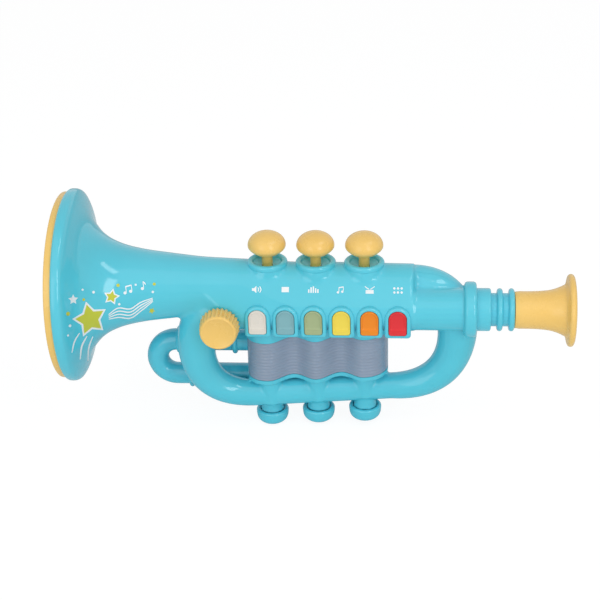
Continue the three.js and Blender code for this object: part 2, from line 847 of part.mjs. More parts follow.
// Holes and windows through the walls.
function shellOpenings() {
  const cuts = [];
  const side = blockHalfWidth + overrun;
  cuts.push(solid(risen(block(-side, side, -lobeDepth - overrun, fitGap / 2, bandTopZ, skirtBottomZ))));
  for (let i = 0; i < keyCount; i += 1) {
    const grown = (extra, corner) => archOutline(
      keyX(i), keyMiddleZ, keyWidth + 2 * extra, keyHeight + 2 * extra, corner,
    );
    cuts.push(solid(plate(grown(fitGap, keyCorner), frameFrontY - overrun, leadY)));
    cuts.push(solid(plate(
      grown(keyFlange + fitGap, keyCorner), frameFrontY + frameWall, mainBoard.frontY - padThickness,
    )));
  }
  for (let i = 0; i < valveCount; i += 1) {
    const x = valveX(i);
    cuts.push(solid(rodZ(recessRadius, recessFloorZ, collarTopZ + overrun, tubeSides, x)));
    cuts.push(solid(rodZ(stemRadius + fitGap, collarBaseZ, collarTopZ, smallSides, x)));
  }
  cuts.push(solid(rodY(knobShaftRadius + fitGap, knobBaseY - overrun, leadY, smallSides, knobX, knobZ)));
  cuts.push(solid(rodX(leadRadius - wall, leadEndX - neckPlugLength - 2 * fitGap, leadEndX + overrun,
    bodySides, leadY, leadZ)));
  const bowEnd = rightBow.x + rightBow.radius + overrun;
  cuts.push(solid(rodX(neckRadius + fitGap, leadEndX, bowEnd, bodySides, leadY, leadZ)));
  for (const z of [slideTopZ, slideBottomZ]) {
    cuts.push(solid(rodX(slideRadius + fitGap, -bayHalfWidth - overrun, slideEndX + fitGap, tubeSides, slideY, z)));
  }
  for (const screw of housingScrews) {
    cuts.push(solid(rodY(screwRadius + fitGap, -fitGap, screw.rearY + overrun, holeSides, screw.x, screw.z)));
    cuts.push(solid(rodY(
      screwHeadRadius + fitGap, screwHeadSeatY(screw), screw.rearY + overrun, holeSides, screw.x, screw.z,
    )));
    cuts.push(solid(rodY(screwRadius + fitGap / 2, -screwReach - fitGap, 0, holeSides, screw.x, screw.z)));
  }
  const doorFloor = bayDepth - doorThickness - fitGap;
  cuts.push(solid(plate(doorOutline(-fitGap), doorFloor, bayDepth + overrun)));
  cuts.push(solid(block(
    trayLeft() - fitGap, trayRight() + fitGap, trayFrontY() - fitGap, bayDepth + overrun,
    trayOuterBottom() - fitGap, trayOuterTop() + fitGap,
  )));
  cuts.push(solid(rodY(
    screwPilotRadius + fitGap / 2, doorFloor - screwReach, bayDepth, holeSides, doorScrewX, cellMiddleZ,
  )));
  return joined(cuts);
}

function screwHeadSeatY(screw) {
  return screw.rearY - screwHeadHeight - screwSeat;
}

function trayLeft() {
  return trayMiddleX - cellLength / 2 - cellTipLength / 2 - contactSpace - trayWall;
}

function trayRight() {
  return trayMiddleX + cellLength / 2 + cellTipLength / 2 + contactSpace / 3 + trayWall;
}

function trayFrontY() {
  return cellY - cellRadius - trayClearance - trayWall;
}

function trayOuterBottom() {
  return 2 * cellMiddleZ - trayOuterTop();
}

function shells() {
  const outside = shellOutside();
  const hollow = outside.subtract(shellInside());
  const stands = innerStands().intersect(outside);
  const whole = hollow.add(stands).subtract(shellOpenings());
  const reach = bellRimRadius * 3;
  const frontHalf = solid(block(-reach, reach, -reach, -fitGap / 2, -reach, reach));
  const rearHalf = solid(block(-reach, reach, fitGap / 2, reach, -reach, reach));
  return { front: mainBody(whole.intersect(frontHalf)), rear: mainBody(whole.intersect(rearHalf)) };
}

// Parts on and in the housing

function casingGeometry() {
  const face = solid(waveWall(0, casingWall, bandTopZ + fitGap, skirtBottomZ - fitGap));
  const lip = solid(waveWall(
    thinWall + fitGap, thinWall + fitGap + casingWall, bandTopZ - casingLip, skirtBottomZ + casingLip,
  ));
  const limit = solid(block(
    -blockHalfWidth - overrun, blockHalfWidth + overrun, -lobeDepth - overrun, -fitGap / 2,
    2 * blockBottomZ, 0,
  ));
  return geometryOf(face.add(lip).intersect(limit));
}

function slideGeometry() {
  const middle = (slideTopZ + slideBottomZ) / 2;
  const bend = (slideTopZ - slideBottomZ) / 2;
  const stations = [];
  stations.push([slideEndX, slideTopZ]);
  for (let k = 0; k <= bendSteps; k += 1) {
    const angle = Math.PI / 2 + (Math.PI * k) / bendSteps;
    stations.push([slideBendX + bend * Math.cos(angle), middle + bend * Math.sin(angle)]);
  }
  stations.push([slideEndX, slideBottomZ]);
  const tube = (radius, extra, sides) => loft(stations.map(([x, z], i) => {
    const before = stations[Math.max(i - 1, 0)];
    const after = stations[Math.min(i + 1, stations.length - 1)];
    const run = new THREE.Vector2(after[0] - before[0], after[1] - before[1]).normalize();
    const isEnd = i === 0 || i === stations.length - 1;
    const ring = [];
    for (let k = 0; k < sides; k += 1) {
      const angle = (2 * Math.PI * k) / sides;
      const out = Math.cos(angle) * radius;
      ring.push(new THREE.Vector3(
        x - run.y * out + (isEnd ? extra : 0),
        slideY + Math.sin(angle) * radius,
        z + run.x * out,
      ));
    }
    return ring;
  }));
  let body = solid(tube(slideRadius, 0, smallSides));
  for (const bead of slideBeads) {
    const half = slideBeadLength / 2;
    body = body.add(solid(turnedX([
      [bead.x - half, 0],
      [bead.x - half, slideRadius],
      [bead.x - half / 2, slideBeadRadius],
      [bead.x + half / 2, slideBeadRadius],
      [bead.x + half, slideRadius],
      [bead.x + half, 0],
    ], smallSides, slideY, bead.z)));
  }
  return geometryOf(body.subtract(solid(tube(slideRadius - wall, overrun, hiddenSides))));
}

function neckGeometry() {
  const start = leadEndX - neckPlugLength;
  const shoulder = leadEndX + fitGap;
  const plugRadius = leadRadius - wall - fitGap;
  const plainEnd = shoulder + neckPlainLength;
  const profile = [[start, neckBoreRadius], [start, plugRadius], [shoulder, plugRadius], [shoulder, neckRadius]];
  profile.push([plainEnd, neckRadius], [plainEnd, neckCoreRadius]);
  const space = (neckEndX - plainEnd) / neckRibCount - neckRibLength;
  for (let i = 0; i < neckRibCount; i += 1) {
    const left = plainEnd + space * (i + 1) + neckRibLength * i;
    const right = left + neckRibLength;
    const round = neckRibLength / 4;
    profile.push([left, neckCoreRadius], [left, neckRadius - round], [left + round, neckRadius]);
    profile.push([right - round, neckRadius], [right, neckRadius - round]);
    profile.push([right, i < neckRibCount - 1 ? neckCoreRadius : neckBoreRadius]);
  }
  profile.push([start, neckBoreRadius]);
  return turnedX(profile, tubeSides + 2, leadY, leadZ);
}

function mouthpieceGeometry() {
  const start = neckEndX + fitGap;
  const rimBack = mouthEndX - mouthRimThickness;
  const plugStart = start - mouthPlugLength;
  const plugRadius = neckBoreRadius - fitGap;
  const round = mouthRimThickness / 4;
  const flare = mouthFlareShares.map(([along, growth]) => [
    THREE.MathUtils.lerp(start, rimBack, along),
    THREE.MathUtils.lerp(mouthTubeRadius, mouthRimRadius, growth),
  ]);
  const profile = [
    [plugStart, mouthBoreRadius],
    [plugStart, plugRadius],
    [start, plugRadius],
    [start, mouthTubeRadius],
    ...flare,
    [rimBack, mouthRimRadius - 2 * round],
    [rimBack + round, mouthRimRadius - round / 3],
    [rimBack + 2 * round, mouthRimRadius],
    [mouthEndX - round, mouthRimRadius - round / 3],
    [mouthEndX, mouthRimRadius - 2 * round],
    [mouthEndX, mouthCupRadius + round],
    [mouthEndX - round, mouthCupRadius],
    [mouthEndX - mouthCupDepth / 2, mouthCupRadius * mouthCupWaistShare],
    [mouthEndX - mouthCupDepth, mouthBoreRadius],
    [plugStart, mouthBoreRadius],
  ];
  return turnedX(profile, tubeSides + 4, leadY, leadZ);
}

// Underside of the stop disc at rest, which the spring lifts.
function stopBottomZ() {
  return recessFloorZ - guideThickness - fitGap - stopThickness;
}

function valveButtonGeometry(x) {
  const stopTop = stopBottomZ() + stopThickness;
  const profile = [
    [0, stopBottomZ() - pinLength],
    [pinRadius, stopBottomZ() - pinLength],
    [pinRadius, stopBottomZ()],
    [stopRadius, stopBottomZ()],
    [stopRadius, stopTop],
    [stemRadius, stopTop],
    [stemRadius, capEquatorZ - capUnderHeight],
    ...capUnderShares.map(([wide, deep]) => [capRadius * wide, capEquatorZ - capUnderHeight * deep]),
  ];
  for (let k = 0; k <= domeSteps; k += 1) {
    const angle = (Math.PI / 2) * (k / domeSteps);
    profile.push([capRadius * Math.cos(angle), capEquatorZ + capDomeHeight * Math.sin(angle)]);
  }
  profile.at(-1)[0] = 0;
  return turnedZ(profile, tubeSides, x);
}

function springGeometry(x) {
  const bottom = valveBoard.topZ + fitGap + springWire / 2;
  const top = stopBottomZ() - fitGap - springWire / 2;
  const points = [];
  const steps = springTurns * springSteps;
  for (let k = 0; k <= steps; k += 1) {
    const share = k / steps;
    const angle = 2 * Math.PI * springTurns * share;
    points.push(new THREE.Vector3(
      x + springRadius * Math.cos(angle),
      springRadius * Math.sin(angle),
      THREE.MathUtils.lerp(bottom, top, share),
    ));
  }
  return swept(circleOutline(springWire / 2, springSides), points);
}

function bottomCapGeometry(x) {
  const rise = lowerRiseShare * x;
  const bottom = bottomCapZ + rise;
  const bead = bottomCapBeadZ + rise;
  const top = columnBottomZ + rise - fitGap;
  const plugRadius = columnRadius - wall - fitGap;
  const depth = bead - bottomCapBead - bottom;
  return turnedZ([
    [0, bottom],
    [bottomCapFlatRadius, bottom],
    ...bottomCapShares.map(([wide, high]) => [
      THREE.MathUtils.lerp(bottomCapFlatRadius, bottomCapRadius, wide),
      bottom + depth * high,
    ]),
    [bottomCapRadius - bottomCapBead, bottom + depth],
    [bottomCapRadius, bead],
    [bottomCapRadius - bottomCapBead, bead + bottomCapBead],
    [bottomCapRadius - bottomCapBead, THREE.MathUtils.lerp(bead, top, bottomCapShoulderShare)],
    [bottomCapTopRadius, top],
    [plugRadius, top],
    [plugRadius, top + bottomPlugLength],
    [0, top + bottomPlugLength],
  ], tubeSides, x);
}

function keyGeometry(i) {
  const x = keyX(i);
  const bodyBack = keyFrontY + keyBodyDepth;
  const flangeBack = bodyBack + keyFlangeDepth;
  const face = archOutline(x, keyMiddleZ, keyWidth, keyHeight, keyCorner);
  const flange = archOutline(x, keyMiddleZ, keyWidth + 2 * keyFlange, keyHeight + 2 * keyFlange, keyCorner);
  const dish = archOutline(x, keyMiddleZ, keyWidth - 2 * keyRim, keyHeight - 2 * keyRim, keyCorner / 2);
  const postEnd = mainBoard.frontY - padThickness - 2 * fitGap - domeHeight - keyTravel;
  const body = joined([
    solid(plate(face, keyFrontY, bodyBack + keyFlangeDepth / 2)),
    solid(plate(flange, bodyBack, flangeBack)),
    solid(rodY(keyPostRadius, bodyBack, postEnd, holeSides, x, keyMiddleZ)),
  ]);
  const scoop = solid(plate(dish, keyFrontY - overrun, keyFrontY + keyDish));
  return geometryOf(body.subtract(scoop));
}

function knobGeometry() {
  const count = 2 * knobRibs;
  const ringAt = (y, radius, ribDepth) => {
    const ring = [];
    for (let k = 0; k < count; k += 1) {
      const angle = (2 * Math.PI * k) / count;
      const reach = radius - (k % 2) * ribDepth;
      ring.push(new THREE.Vector3(knobX + reach * Math.cos(angle), y, knobZ + reach * Math.sin(angle)));
    }
    return ring;
  };
  const grip = loft([
    ringAt(knobBaseY, knobBaseRadius, knobRibDepth),
    ringAt(knobFaceY + knobEdge, knobFaceRadius + knobEdge, knobRibDepth),
    ringAt(knobFaceY, knobFaceRadius, 0),
  ]);
  const shaft = rodY(knobShaftRadius, knobBaseY - overrun, rotaryFrontY - fitGap, smallSides, knobX, knobZ);
  return geometryOf(solid(grip).add(solid(shaft)));
}

function doorGeometry() {
  const front = bayDepth - doorThickness;
  const cover = solid(plate(doorOutline(0), front, bayDepth));
  const seat = front - doorLip;
  const rim = solid(block(
    trayLeft() + trayWall + trayClearance, trayRight() - trayWall - trayClearance, seat, front + doorThickness / 2,
    trayOuterTop() - trayWall - 2 * trayClearance - doorLip, trayOuterTop() - trayWall - 2 * trayClearance,
  ));
  const hole = solid(rodY(screwRadius + fitGap, seat - overrun, bayDepth + overrun, holeSides, doorScrewX, cellMiddleZ));
  return geometryOf(cover.add(rim).subtract(hole));
}

function screwGeometry(x, z, seat, tip, shankRadius, headHeight) {
  const head = solid(rodY(screwHeadRadius, seat, seat + headHeight, bossSides, x, z));
  const shank = solid(rodY(shankRadius, tip, seat + headHeight / 2, holeSides, x, z));
  return geometryOf(head.add(shank));
}

function speakerParts() {
  const back = speakerFrontX + speakerDepth;
  const magnetFront = back - speakerMagnetLength;
  const basket = turnedX([
    [speakerFrontX, speakerRadius - speakerRim],
    [speakerFrontX, speakerRadius],
    [speakerFrontX + thinWall, speakerRadius],
    [magnetFront, speakerMagnetRadius + thinWall],
    [magnetFront, speakerMagnetRadius],
    [back, speakerMagnetRadius],
    [back, 0],
    [magnetFront, 0],
    [magnetFront - thinWall, speakerMagnetRadius],
    [speakerFrontX + thinWall, speakerRadius - speakerRim],
    [speakerFrontX, speakerRadius - speakerRim],
  ], tubeSides);
  const coneEdge = speakerRadius - speakerRim - fitGap;
  const coneBack = magnetFront - 3 * thinWall;
  const cone = turnedX([
    [speakerFrontX + thinWall / 2, coneEdge],
    [coneBack, speakerMagnetRadius / 2],
    [coneBack, 0],
    [coneBack - thinWall, 0],
    [coneBack - thinWall, speakerMagnetRadius / 2 - thinWall],
    [speakerFrontX, coneEdge - thinWall],
    [speakerFrontX, coneEdge],
    [speakerFrontX + thinWall / 2, coneEdge],
  ], tubeSides);
  return { basket, cone };
}

function grilleGeometry() {
  const disc = rodX(grilleRadius, grilleX, grilleX + grilleThickness, bodySides, 0, 0);
  const foot = turnedX([
    [grilleX + grilleThickness / 2, speakerRadius - speakerRim],
    [speakerFrontX - fitGap, speakerRadius - speakerRim],
    [speakerFrontX - fitGap, speakerRadius],
    [grilleX + grilleThickness / 2, speakerRadius],
    [grilleX + grilleThickness / 2, speakerRadius - speakerRim],
  ], tubeSides);
  let body = solid(disc).add(solid(foot));
  const reach = speakerRadius - 2 * speakerRim;
  for (let k = 0; k < grilleSlots; k += 1) {
    const z = reach * grilleSpreadShare * ((2 * k) / (grilleSlots - 1) - 1);
    const half = Math.sqrt(reach * reach - z * z);
    body = body.subtract(solid(block(
      grilleX - overrun, grilleX + grilleThickness + overrun, -half, half,
      z - grilleSlotWidth / 2, z + grilleSlotWidth / 2,
    )));
  }
  return geometryOf(body);
}

// Flat two-core lead along hand-placed points.
function leadGeometry(points) {
  const half = leadThickness / 2;
  const reach = leadWidth / 2 - half;
  const outline = new THREE.Shape([
    ...arcPoints(reach, 0, half, -Math.PI / 2, Math.PI / 2, cornerSteps),
    ...arcPoints(-reach, 0, half, Math.PI / 2, 1.5 * Math.PI, cornerSteps),
  ]);
  return swept(outline, points.map((point) => new THREE.Vector3(...point)));
}

function cellGeometry(z) {
  const left = trayMiddleX - cellLength / 2;
  const right = left + cellLength;
  return turnedX([
    [left, 0],
    [left, cellRadius],
    [right, cellRadius],
    [right, cellTipRadius],
    [right + cellTipLength, cellTipRadius],
    [right + cellTipLength, 0],
  ], bossSides + 2, cellY, z);
}

function trayGeometry() {
  const front = trayFrontY();
  const back = bayDepth - doorThickness - doorLip - 2 * fitGap;
  const outer = solid(block(trayLeft(), trayRight(), front, back, trayOuterBottom(), trayOuterTop()));
  const inner = solid(block(
    trayLeft() + trayWall, trayRight() - trayWall, front + trayWall, back + overrun,
    trayOuterBottom() + trayWall, trayOuterTop() - trayWall,
  ));
  return geometryOf(outer.subtract(inner));
}

function cellZ(i) {
  return cellMiddleZ + ((cellCount - 1) / 2 - i) * cellPitch;
}

// Spring plate or bridge at one end of the cells from the first to the last listed.
function contactGeometry(atLeft, first, last) {
  const half = contactWidth / 2;
  const left = atLeft ? trayLeft() + trayWall + fitGap : trayRight() - trayWall - fitGap - contactThickness;
  const right = left + contactThickness;
  let strip = solid(block(left, right, cellY - half, cellY + half, cellZ(last) - half, cellZ(first) + half));
  for (let i = first; atLeft && i <= last; i += 1) {
    const tip = rodX(contactTipRadius, left, trayMiddleX - cellLength / 2 - fitGap, holeSides, cellY, cellZ(i));
    strip = strip.add(solid(tip));
  }
  return geometryOf(strip);
}

function padGeometry() {
  const back = mainBoard.frontY - fitGap;
  const front = back - padThickness + fitGap;
  const z = (mainBoard.bottom + mainBoard.top) / 2;
  const half = (mainBoard.top - mainBoard.bottom) / 2 - wall;
  const margin = keyWidth / 2;
  const sheet = solid(block(keyX(0) - margin, keyX(keyCount - 1) + margin, front, back, z - half, z + half));
  const domes = [];
  for (let i = 0; i < keyCount; i += 1) {
    domes.push(solid(rodY(domeRadius, front - domeHeight, back - padThickness / 4, holeSides, keyX(i), keyMiddleZ)));
  }
  return geometryOf(joined([sheet, ...domes]));
}

function reflectorGeometry() {
  let panel = solid(risen(block(
    -lampHalfWidth, lampHalfWidth, reflectorY, reflectorY + reflectorThickness,
    blockBottomZ + thinWall + fitGap, lampTopZ,
  )));
  for (let i = 0; i < valveCount; i += 1) {
    panel = panel.subtract(solid(rodY(
      ledRadius + fitGap, reflectorY - overrun, reflectorY + reflectorThickness + overrun, bossSides, valveX(i), ledZ(),
    )));
  }
  return geometryOf(panel);
}

function ledZ() {
  return (blockBottomZ + thinWall + fitGap - lowerRiseShare * lampHalfWidth + lampTopZ) / 2;
}

// Assembly

const horn = new THREE.Group();
horn.position.set(
  -(ringFrontX + mouthEndX) / 2,
  0,
  -(bellRimRadius + bottomCapZ - lowerRiseShare * valvePitch) / 2,
);

function piece(name, geometry, look) {
  const mesh = new THREE.Mesh(closed(geometry), new THREE.MeshStandardMaterial(look));
  mesh.name = name;
  mesh.geometry.computeVertexNormals();
  horn.add(mesh);
  return mesh;
}

const { front, rear } = shells();
piece('bell', bellGeometry(bellSides), finish.blue);
piece('bell_ring', ringGeometry(bellSides), finish.yellow);
piece('front_shell', geometryOf(front), finish.blue);
piece('rear_shell', geometryOf(rear), finish.blue);
piece('light_casing', casingGeometry(), finish.casing);
piece('slide_tube', slideGeometry(), finish.blue);
piece('neck_tube', neckGeometry(), finish.blue);
piece('mouthpiece', mouthpieceGeometry(), finish.yellow);

for (let i = 0; i < valveCount; i += 1) {
  const x = valveX(i);
  piece(`valve_button_${i + 1}`, valveButtonGeometry(x), finish.yellow);
  piece(`valve_spring_${i + 1}`, springGeometry(x), finish.steel);
  piece(`bottom_cap_${i + 1}`, bottomCapGeometry(x), finish.blue);
  const half = switchSize / 2;
  const bottom = valveBoard.topZ + fitGap;
  const top = stopBottomZ() - pinLength - valveTravel - fitGap;
  piece(`valve_switch_${i + 1}`, block(x - half, x + half, -half, half, bottom, top), finish.black);
  piece(`led_${i + 1}`, rodY(
    ledRadius, lightBoardY - fitGap - ledLength, lightBoardY - fitGap, bossSides, x, ledZ(),
  ), finish.white);
}
for (let i = 0; i < keyCount; i += 1) {
  piece(`key_${i + 1}`, keyGeometry(i), { color: keyColors[i], roughness: 0.35, metalness: 0 });
}
piece('knob', knobGeometry(), finish.yellow);

const speaker = speakerParts();
piece('speaker_basket', speaker.basket, finish.steel);
piece('speaker_cone', speaker.cone, finish.black);
piece('speaker_grille', grilleGeometry(), finish.blue);

const board = mainBoard;
const boardBack = board.frontY + boardThickness;
piece('main_board', block(board.left, board.right, board.frontY, boardBack, board.bottom, board.top), finish.board);
piece('control_chip', rodY(chipRadius, boardBack + fitGap, boardBack + fitGap + chipHeight, smallSides, 0,
  (board.bottom + board.top) / 2), finish.black);
piece('key_pad', padGeometry(), finish.rubber);
piece('rotary_switch', rodY(
  rotaryRadius, rotaryFrontY, rotaryFrontY + rotaryDepth, smallSides, knobX, knobZ,
), finish.black);
piece('valve_board', block(-valveBoard.halfWidth, valveBoard.halfWidth, -valveBoard.halfDepth,
  valveBoard.halfDepth, valveBoard.topZ - boardThickness, valveBoard.topZ), finish.board);
piece('light_board', risen(block(-lampHalfWidth, lampHalfWidth, lightBoardY, lightBoardY + boardThickness,
  blockBottomZ + thinWall + fitGap, lampTopZ)), finish.board);
piece('reflector', reflectorGeometry(), finish.white);

piece('battery_tray', trayGeometry(), finish.black);
for (let i = 0; i < cellCount; i += 1) {
  piece(`battery_${i + 1}`, cellGeometry(cellZ(i)), finish.cell);
}
piece('battery_contact_1', contactGeometry(true, 0, 0), finish.steel);
piece('battery_contact_2', contactGeometry(true, 1, 2), finish.steel);
piece('battery_contact_3', contactGeometry(false, 0, 1), finish.steel);
piece('battery_contact_4', contactGeometry(false, 2, 2), finish.steel);
piece('battery_door', doorGeometry(), finish.blue);
piece('door_screw', screwGeometry(
  doorScrewX, cellMiddleZ, bayDepth + fitGap, bayDepth - doorThickness - screwReach + fitGap,
  screwPilotRadius, screwHeadHeight / 2,
), finish.steel);
housingScrews.forEach((screw, i) => {
  const seat = screwHeadSeatY(screw) + fitGap;
  piece(`housing_screw_${i + 1}`, screwGeometry(
    screw.x, screw.z, seat, -screwReach, screwRadius, screwHeadHeight,
  ), finish.steel);
});

piece('speaker_lead', leadGeometry([
  [-117.2, 0, 8], [-110, 0, 9], [-95, -1, 9], [-82, -2, 7.5], [-72, -3, 0], [-62, -5, -3], [-54, -8, -4], [-49, -10.4, -6],
]), finish.wire);
const batteryLeadX = trayLeft() - leadTrayGap;
piece('battery_lead', leadGeometry([
  [0, 8, -34], [0, 6, -28], [0.5, 3, -22], [1.5, -2, -17], [3, -8, -15], [4, -10.4, -14.5],
].map(([along, y, z]) => [batteryLeadX + along, y, z])), finish.wire);

const model = new THREE.Group();
model.add(horn);

export default model;
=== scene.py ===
import json
import math

import bpy
from mathutils import Matrix, Vector


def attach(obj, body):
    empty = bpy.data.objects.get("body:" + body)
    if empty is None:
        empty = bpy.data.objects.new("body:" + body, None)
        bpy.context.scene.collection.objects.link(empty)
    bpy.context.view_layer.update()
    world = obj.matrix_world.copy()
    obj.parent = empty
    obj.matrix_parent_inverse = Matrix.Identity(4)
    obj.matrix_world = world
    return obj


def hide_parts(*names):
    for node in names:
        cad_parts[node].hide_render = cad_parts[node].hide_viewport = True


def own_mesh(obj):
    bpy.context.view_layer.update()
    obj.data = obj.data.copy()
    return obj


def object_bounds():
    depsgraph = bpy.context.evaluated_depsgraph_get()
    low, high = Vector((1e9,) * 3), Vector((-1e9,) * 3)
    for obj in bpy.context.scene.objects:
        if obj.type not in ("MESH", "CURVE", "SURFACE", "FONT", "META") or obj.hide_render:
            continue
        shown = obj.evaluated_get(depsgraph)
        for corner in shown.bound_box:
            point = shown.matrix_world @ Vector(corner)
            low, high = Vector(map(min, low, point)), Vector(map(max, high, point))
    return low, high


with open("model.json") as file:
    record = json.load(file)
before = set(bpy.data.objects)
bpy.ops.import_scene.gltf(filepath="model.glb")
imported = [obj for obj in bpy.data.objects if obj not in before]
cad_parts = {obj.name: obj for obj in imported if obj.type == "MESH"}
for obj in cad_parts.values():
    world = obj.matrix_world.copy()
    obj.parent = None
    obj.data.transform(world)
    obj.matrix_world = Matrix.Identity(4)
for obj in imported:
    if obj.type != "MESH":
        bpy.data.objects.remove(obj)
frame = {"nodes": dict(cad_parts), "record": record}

CAD_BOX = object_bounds()

# Lengths are millimetres in the horn's own frame: x = 0 is the middle valve, y = 0 the seam of the
# two shells, z = 0 the axis of the bell. place() turns them into metres in the frame of the model.
MM = 0.001
HORN_ZERO = Vector((0.1, 0.0, 19.3809))
VALVE_PITCH = 32.1
LOWER_RISE = 0.058
FULL_TURN = 2 * math.pi


def place(x, y, z):
    return (Vector((x, y, z)) + HORN_ZERO) * MM


# ---------------------------------------------------------------- camera and studio

CAMERA_TURN = (-4.675, 26.725, -1.567)
CAMERA_PLACE = (64.53, -923.37, 475.67)
# Name, degrees round from the front and up, then metres away, wide and high, and watts.
SOFTBOXES = (
    ("key_light", -20, 55, 1.4, 1.8, 1.2, 3.0),
    ("fill_light", -28, 12, 1.5, 0.8, 1.2, 4.1),
    ("window_high", 62, 59, 1.3, 0.7, 0.2, 1.8),
    ("window_low", 31, 22, 1.3, 0.3, 0.82, 3.3),
)
TENT_COLOUR = (0.97, 0.985, 1, 1)
PAPER_COLOUR = (0.93, 0.93, 0.93, 1)
TENT_POWER = 0.5
PAPER_GLOW = 1.08
GLOW_SHARE = 0.84
FLOOR_WIDTH = 12


def linked(thing):
    bpy.context.scene.collection.objects.link(thing)
    return thing


def set_camera():
    """Camera of the photo, fitted to it: its azimuth, elevation and roll in degrees."""
    azimuth, elevation, roll = map(math.radians, CAMERA_TURN)
    forward = Vector((
        math.sin(azimuth) * math.cos(elevation),
        math.cos(azimuth) * math.cos(elevation),
        -math.sin(elevation),
    ))
    level_right = Vector((math.cos(azimuth), -math.sin(azimuth), 0))
    level_up = level_right.cross(forward)
    right = math.cos(roll) * level_right + math.sin(roll) * level_up
    up = math.cos(roll) * level_up - math.sin(roll) * level_right
    camera = bpy.data.objects.new("camera", bpy.data.cameras.new("camera"))
    camera.data.sensor_width = 36
    camera.data.lens = 92.94
    camera.data.clip_end = 20
    turn = Matrix((right, up, -forward)).transposed().to_4x4()
    camera.matrix_world = Matrix.Translation(Vector(CAMERA_PLACE) * MM) @ turn
    bpy.context.scene.camera = linked(camera)


def softbox(name, azimuth, elevation, distance, width, height, power):
    """Rectangular lamp that faces the horn from a direction, in degrees round from the front."""
    around, above = math.radians(azimuth), math.radians(elevation)
    direction = Vector((
        math.sin(around) * math.cos(above), -math.cos(around) * math.cos(above), math.sin(above),
    ))
    lamp = bpy.data.lights.new(name, "AREA")
    lamp.shape = "RECTANGLE"
    lamp.size = width
    lamp.size_y = height
    lamp.energy = power
    stand = bpy.data.objects.new(name, lamp)
    stand.location = direction * distance
    stand.rotation_euler = direction.to_track_quat("Z", "Y").to_euler()
    stand.visible_camera = False
    linked(stand)


def feed(tree, socket, value):
    """Gives an input its value, or a link where the value is another node's output."""
    if isinstance(value, bpy.types.NodeSocket):
        tree.links.new(value, socket)
    else:
        socket.default_value = value


def add_node(tree, kind, *in_order, **by_name):
    """New node with its inputs fed in order, or by name with _ for a space."""
    node = tree.nodes.new(kind)
    for i, value in enumerate(in_order):
        feed(tree, node.inputs[i], value)
    for name, value in by_name.items():
        feed(tree, node.inputs[name.replace("_", " ")], value)
    return node


def calculate(tree, operation, first, second):
    node = add_node(tree, "ShaderNodeMath", first, second)
    node.operation = operation
    return node.outputs[0]


def show_mixed(tree, output, share, first, second):
    """Shows a mix of two shaders."""
    mix = add_node(tree, "ShaderNodeMixShader", share, first.outputs[0], second.outputs[0])
    tree.links.new(mix.outputs[0], tree.nodes.new(output).inputs["Surface"])


def set_studio():
    """White to the camera and in reflections, with a softer tent of light round the horn."""
    for lamp in SOFTBOXES:
        softbox(*lamp)
    world = bpy.data.worlds.new("studio")
    bpy.context.scene.world = world
    world.use_nodes = True
    tree = world.node_tree
    tree.nodes.clear()
    ray = add_node(tree, "ShaderNodeLightPath").outputs
    seen = add_node(tree, "ShaderNodeBackground", Color=(1, 1, 1, 1), Strength=1)
    tent = add_node(tree, "ShaderNodeBackground", Color=TENT_COLOUR, Strength=TENT_POWER)
    direct = calculate(tree, "MAXIMUM", ray["Is Camera Ray"], ray["Is Glossy Ray"])
    direct = calculate(tree, "MAXIMUM", direct, ray["Is Transmission Ray"])
    show_mixed(tree, "ShaderNodeOutputWorld", direct, tent, seen)
    bpy.context.scene.view_settings.view_transform = "Standard"


def lay_floor():
    """Sheet of paper under the horn, which glows where the camera sees it."""
    clear_selection()
    bpy.ops.mesh.primitive_plane_add(size=FLOOR_WIDTH, location=(0, 0, CAD_BOX[0][2]))
    floor = bpy.context.object
    floor.name = "studio_floor"
    settle(floor)
    finish = bpy.data.materials.new("studio_floor")
    finish.use_nodes = True
    tree = finish.node_tree
    tree.nodes.clear()
    ray = add_node(tree, "ShaderNodeLightPath").outputs
    paper = add_node(tree, "ShaderNodeBsdfDiffuse", Color=PAPER_COLOUR)
    glow = add_node(tree, "ShaderNodeEmission", Strength=PAPER_GLOW)
    seen = calculate(tree, "MAXIMUM", ray["Is Camera Ray"], ray["Is Transmission Ray"])
    share = calculate(tree, "MULTIPLY", seen, GLOW_SHARE)
    show_mixed(tree, "ShaderNodeOutputMaterial", share, paper, glow)
    floor.data.materials.append(finish)


# ---------------------------------------------------------------- hand tools

FRONT = -1
BACK = 1


def edit_mode():
    bpy.ops.object.mode_set(mode="EDIT")


def object_mode():
    bpy.ops.object.mode_set(mode="OBJECT")


def select_mesh():
    bpy.ops.mesh.select_all(action="SELECT")


def clear_selection():
    if bpy.context.object and bpy.context.object.mode != "OBJECT":
        object_mode()
    bpy.ops.object.select_all(action="DESELECT")


def take(piece):
    clear_selection()
    piece.select_set(True)
    bpy.context.view_layer.objects.active = piece
    return piece


def settle(piece):
    """Moves the place of a piece into its mesh."""
    take(piece)
    bpy.ops.object.transform_apply(location=True, rotation=True, scale=True)
    return piece


def tidy_mesh(piece, weld=0.002):
    """Joins equal corners and turns the faces outwards."""
    take(piece)
    edit_mode()
    bpy.ops.mesh.select_mode(type="VERT")
    select_mesh()
    bpy.ops.mesh.remove_doubles(threshold=weld * MM)
    bpy.ops.mesh.delete_loose()
    select_mesh()
    bpy.ops.mesh.normals_make_consistent(inside=False)
    object_mode()
    return piece


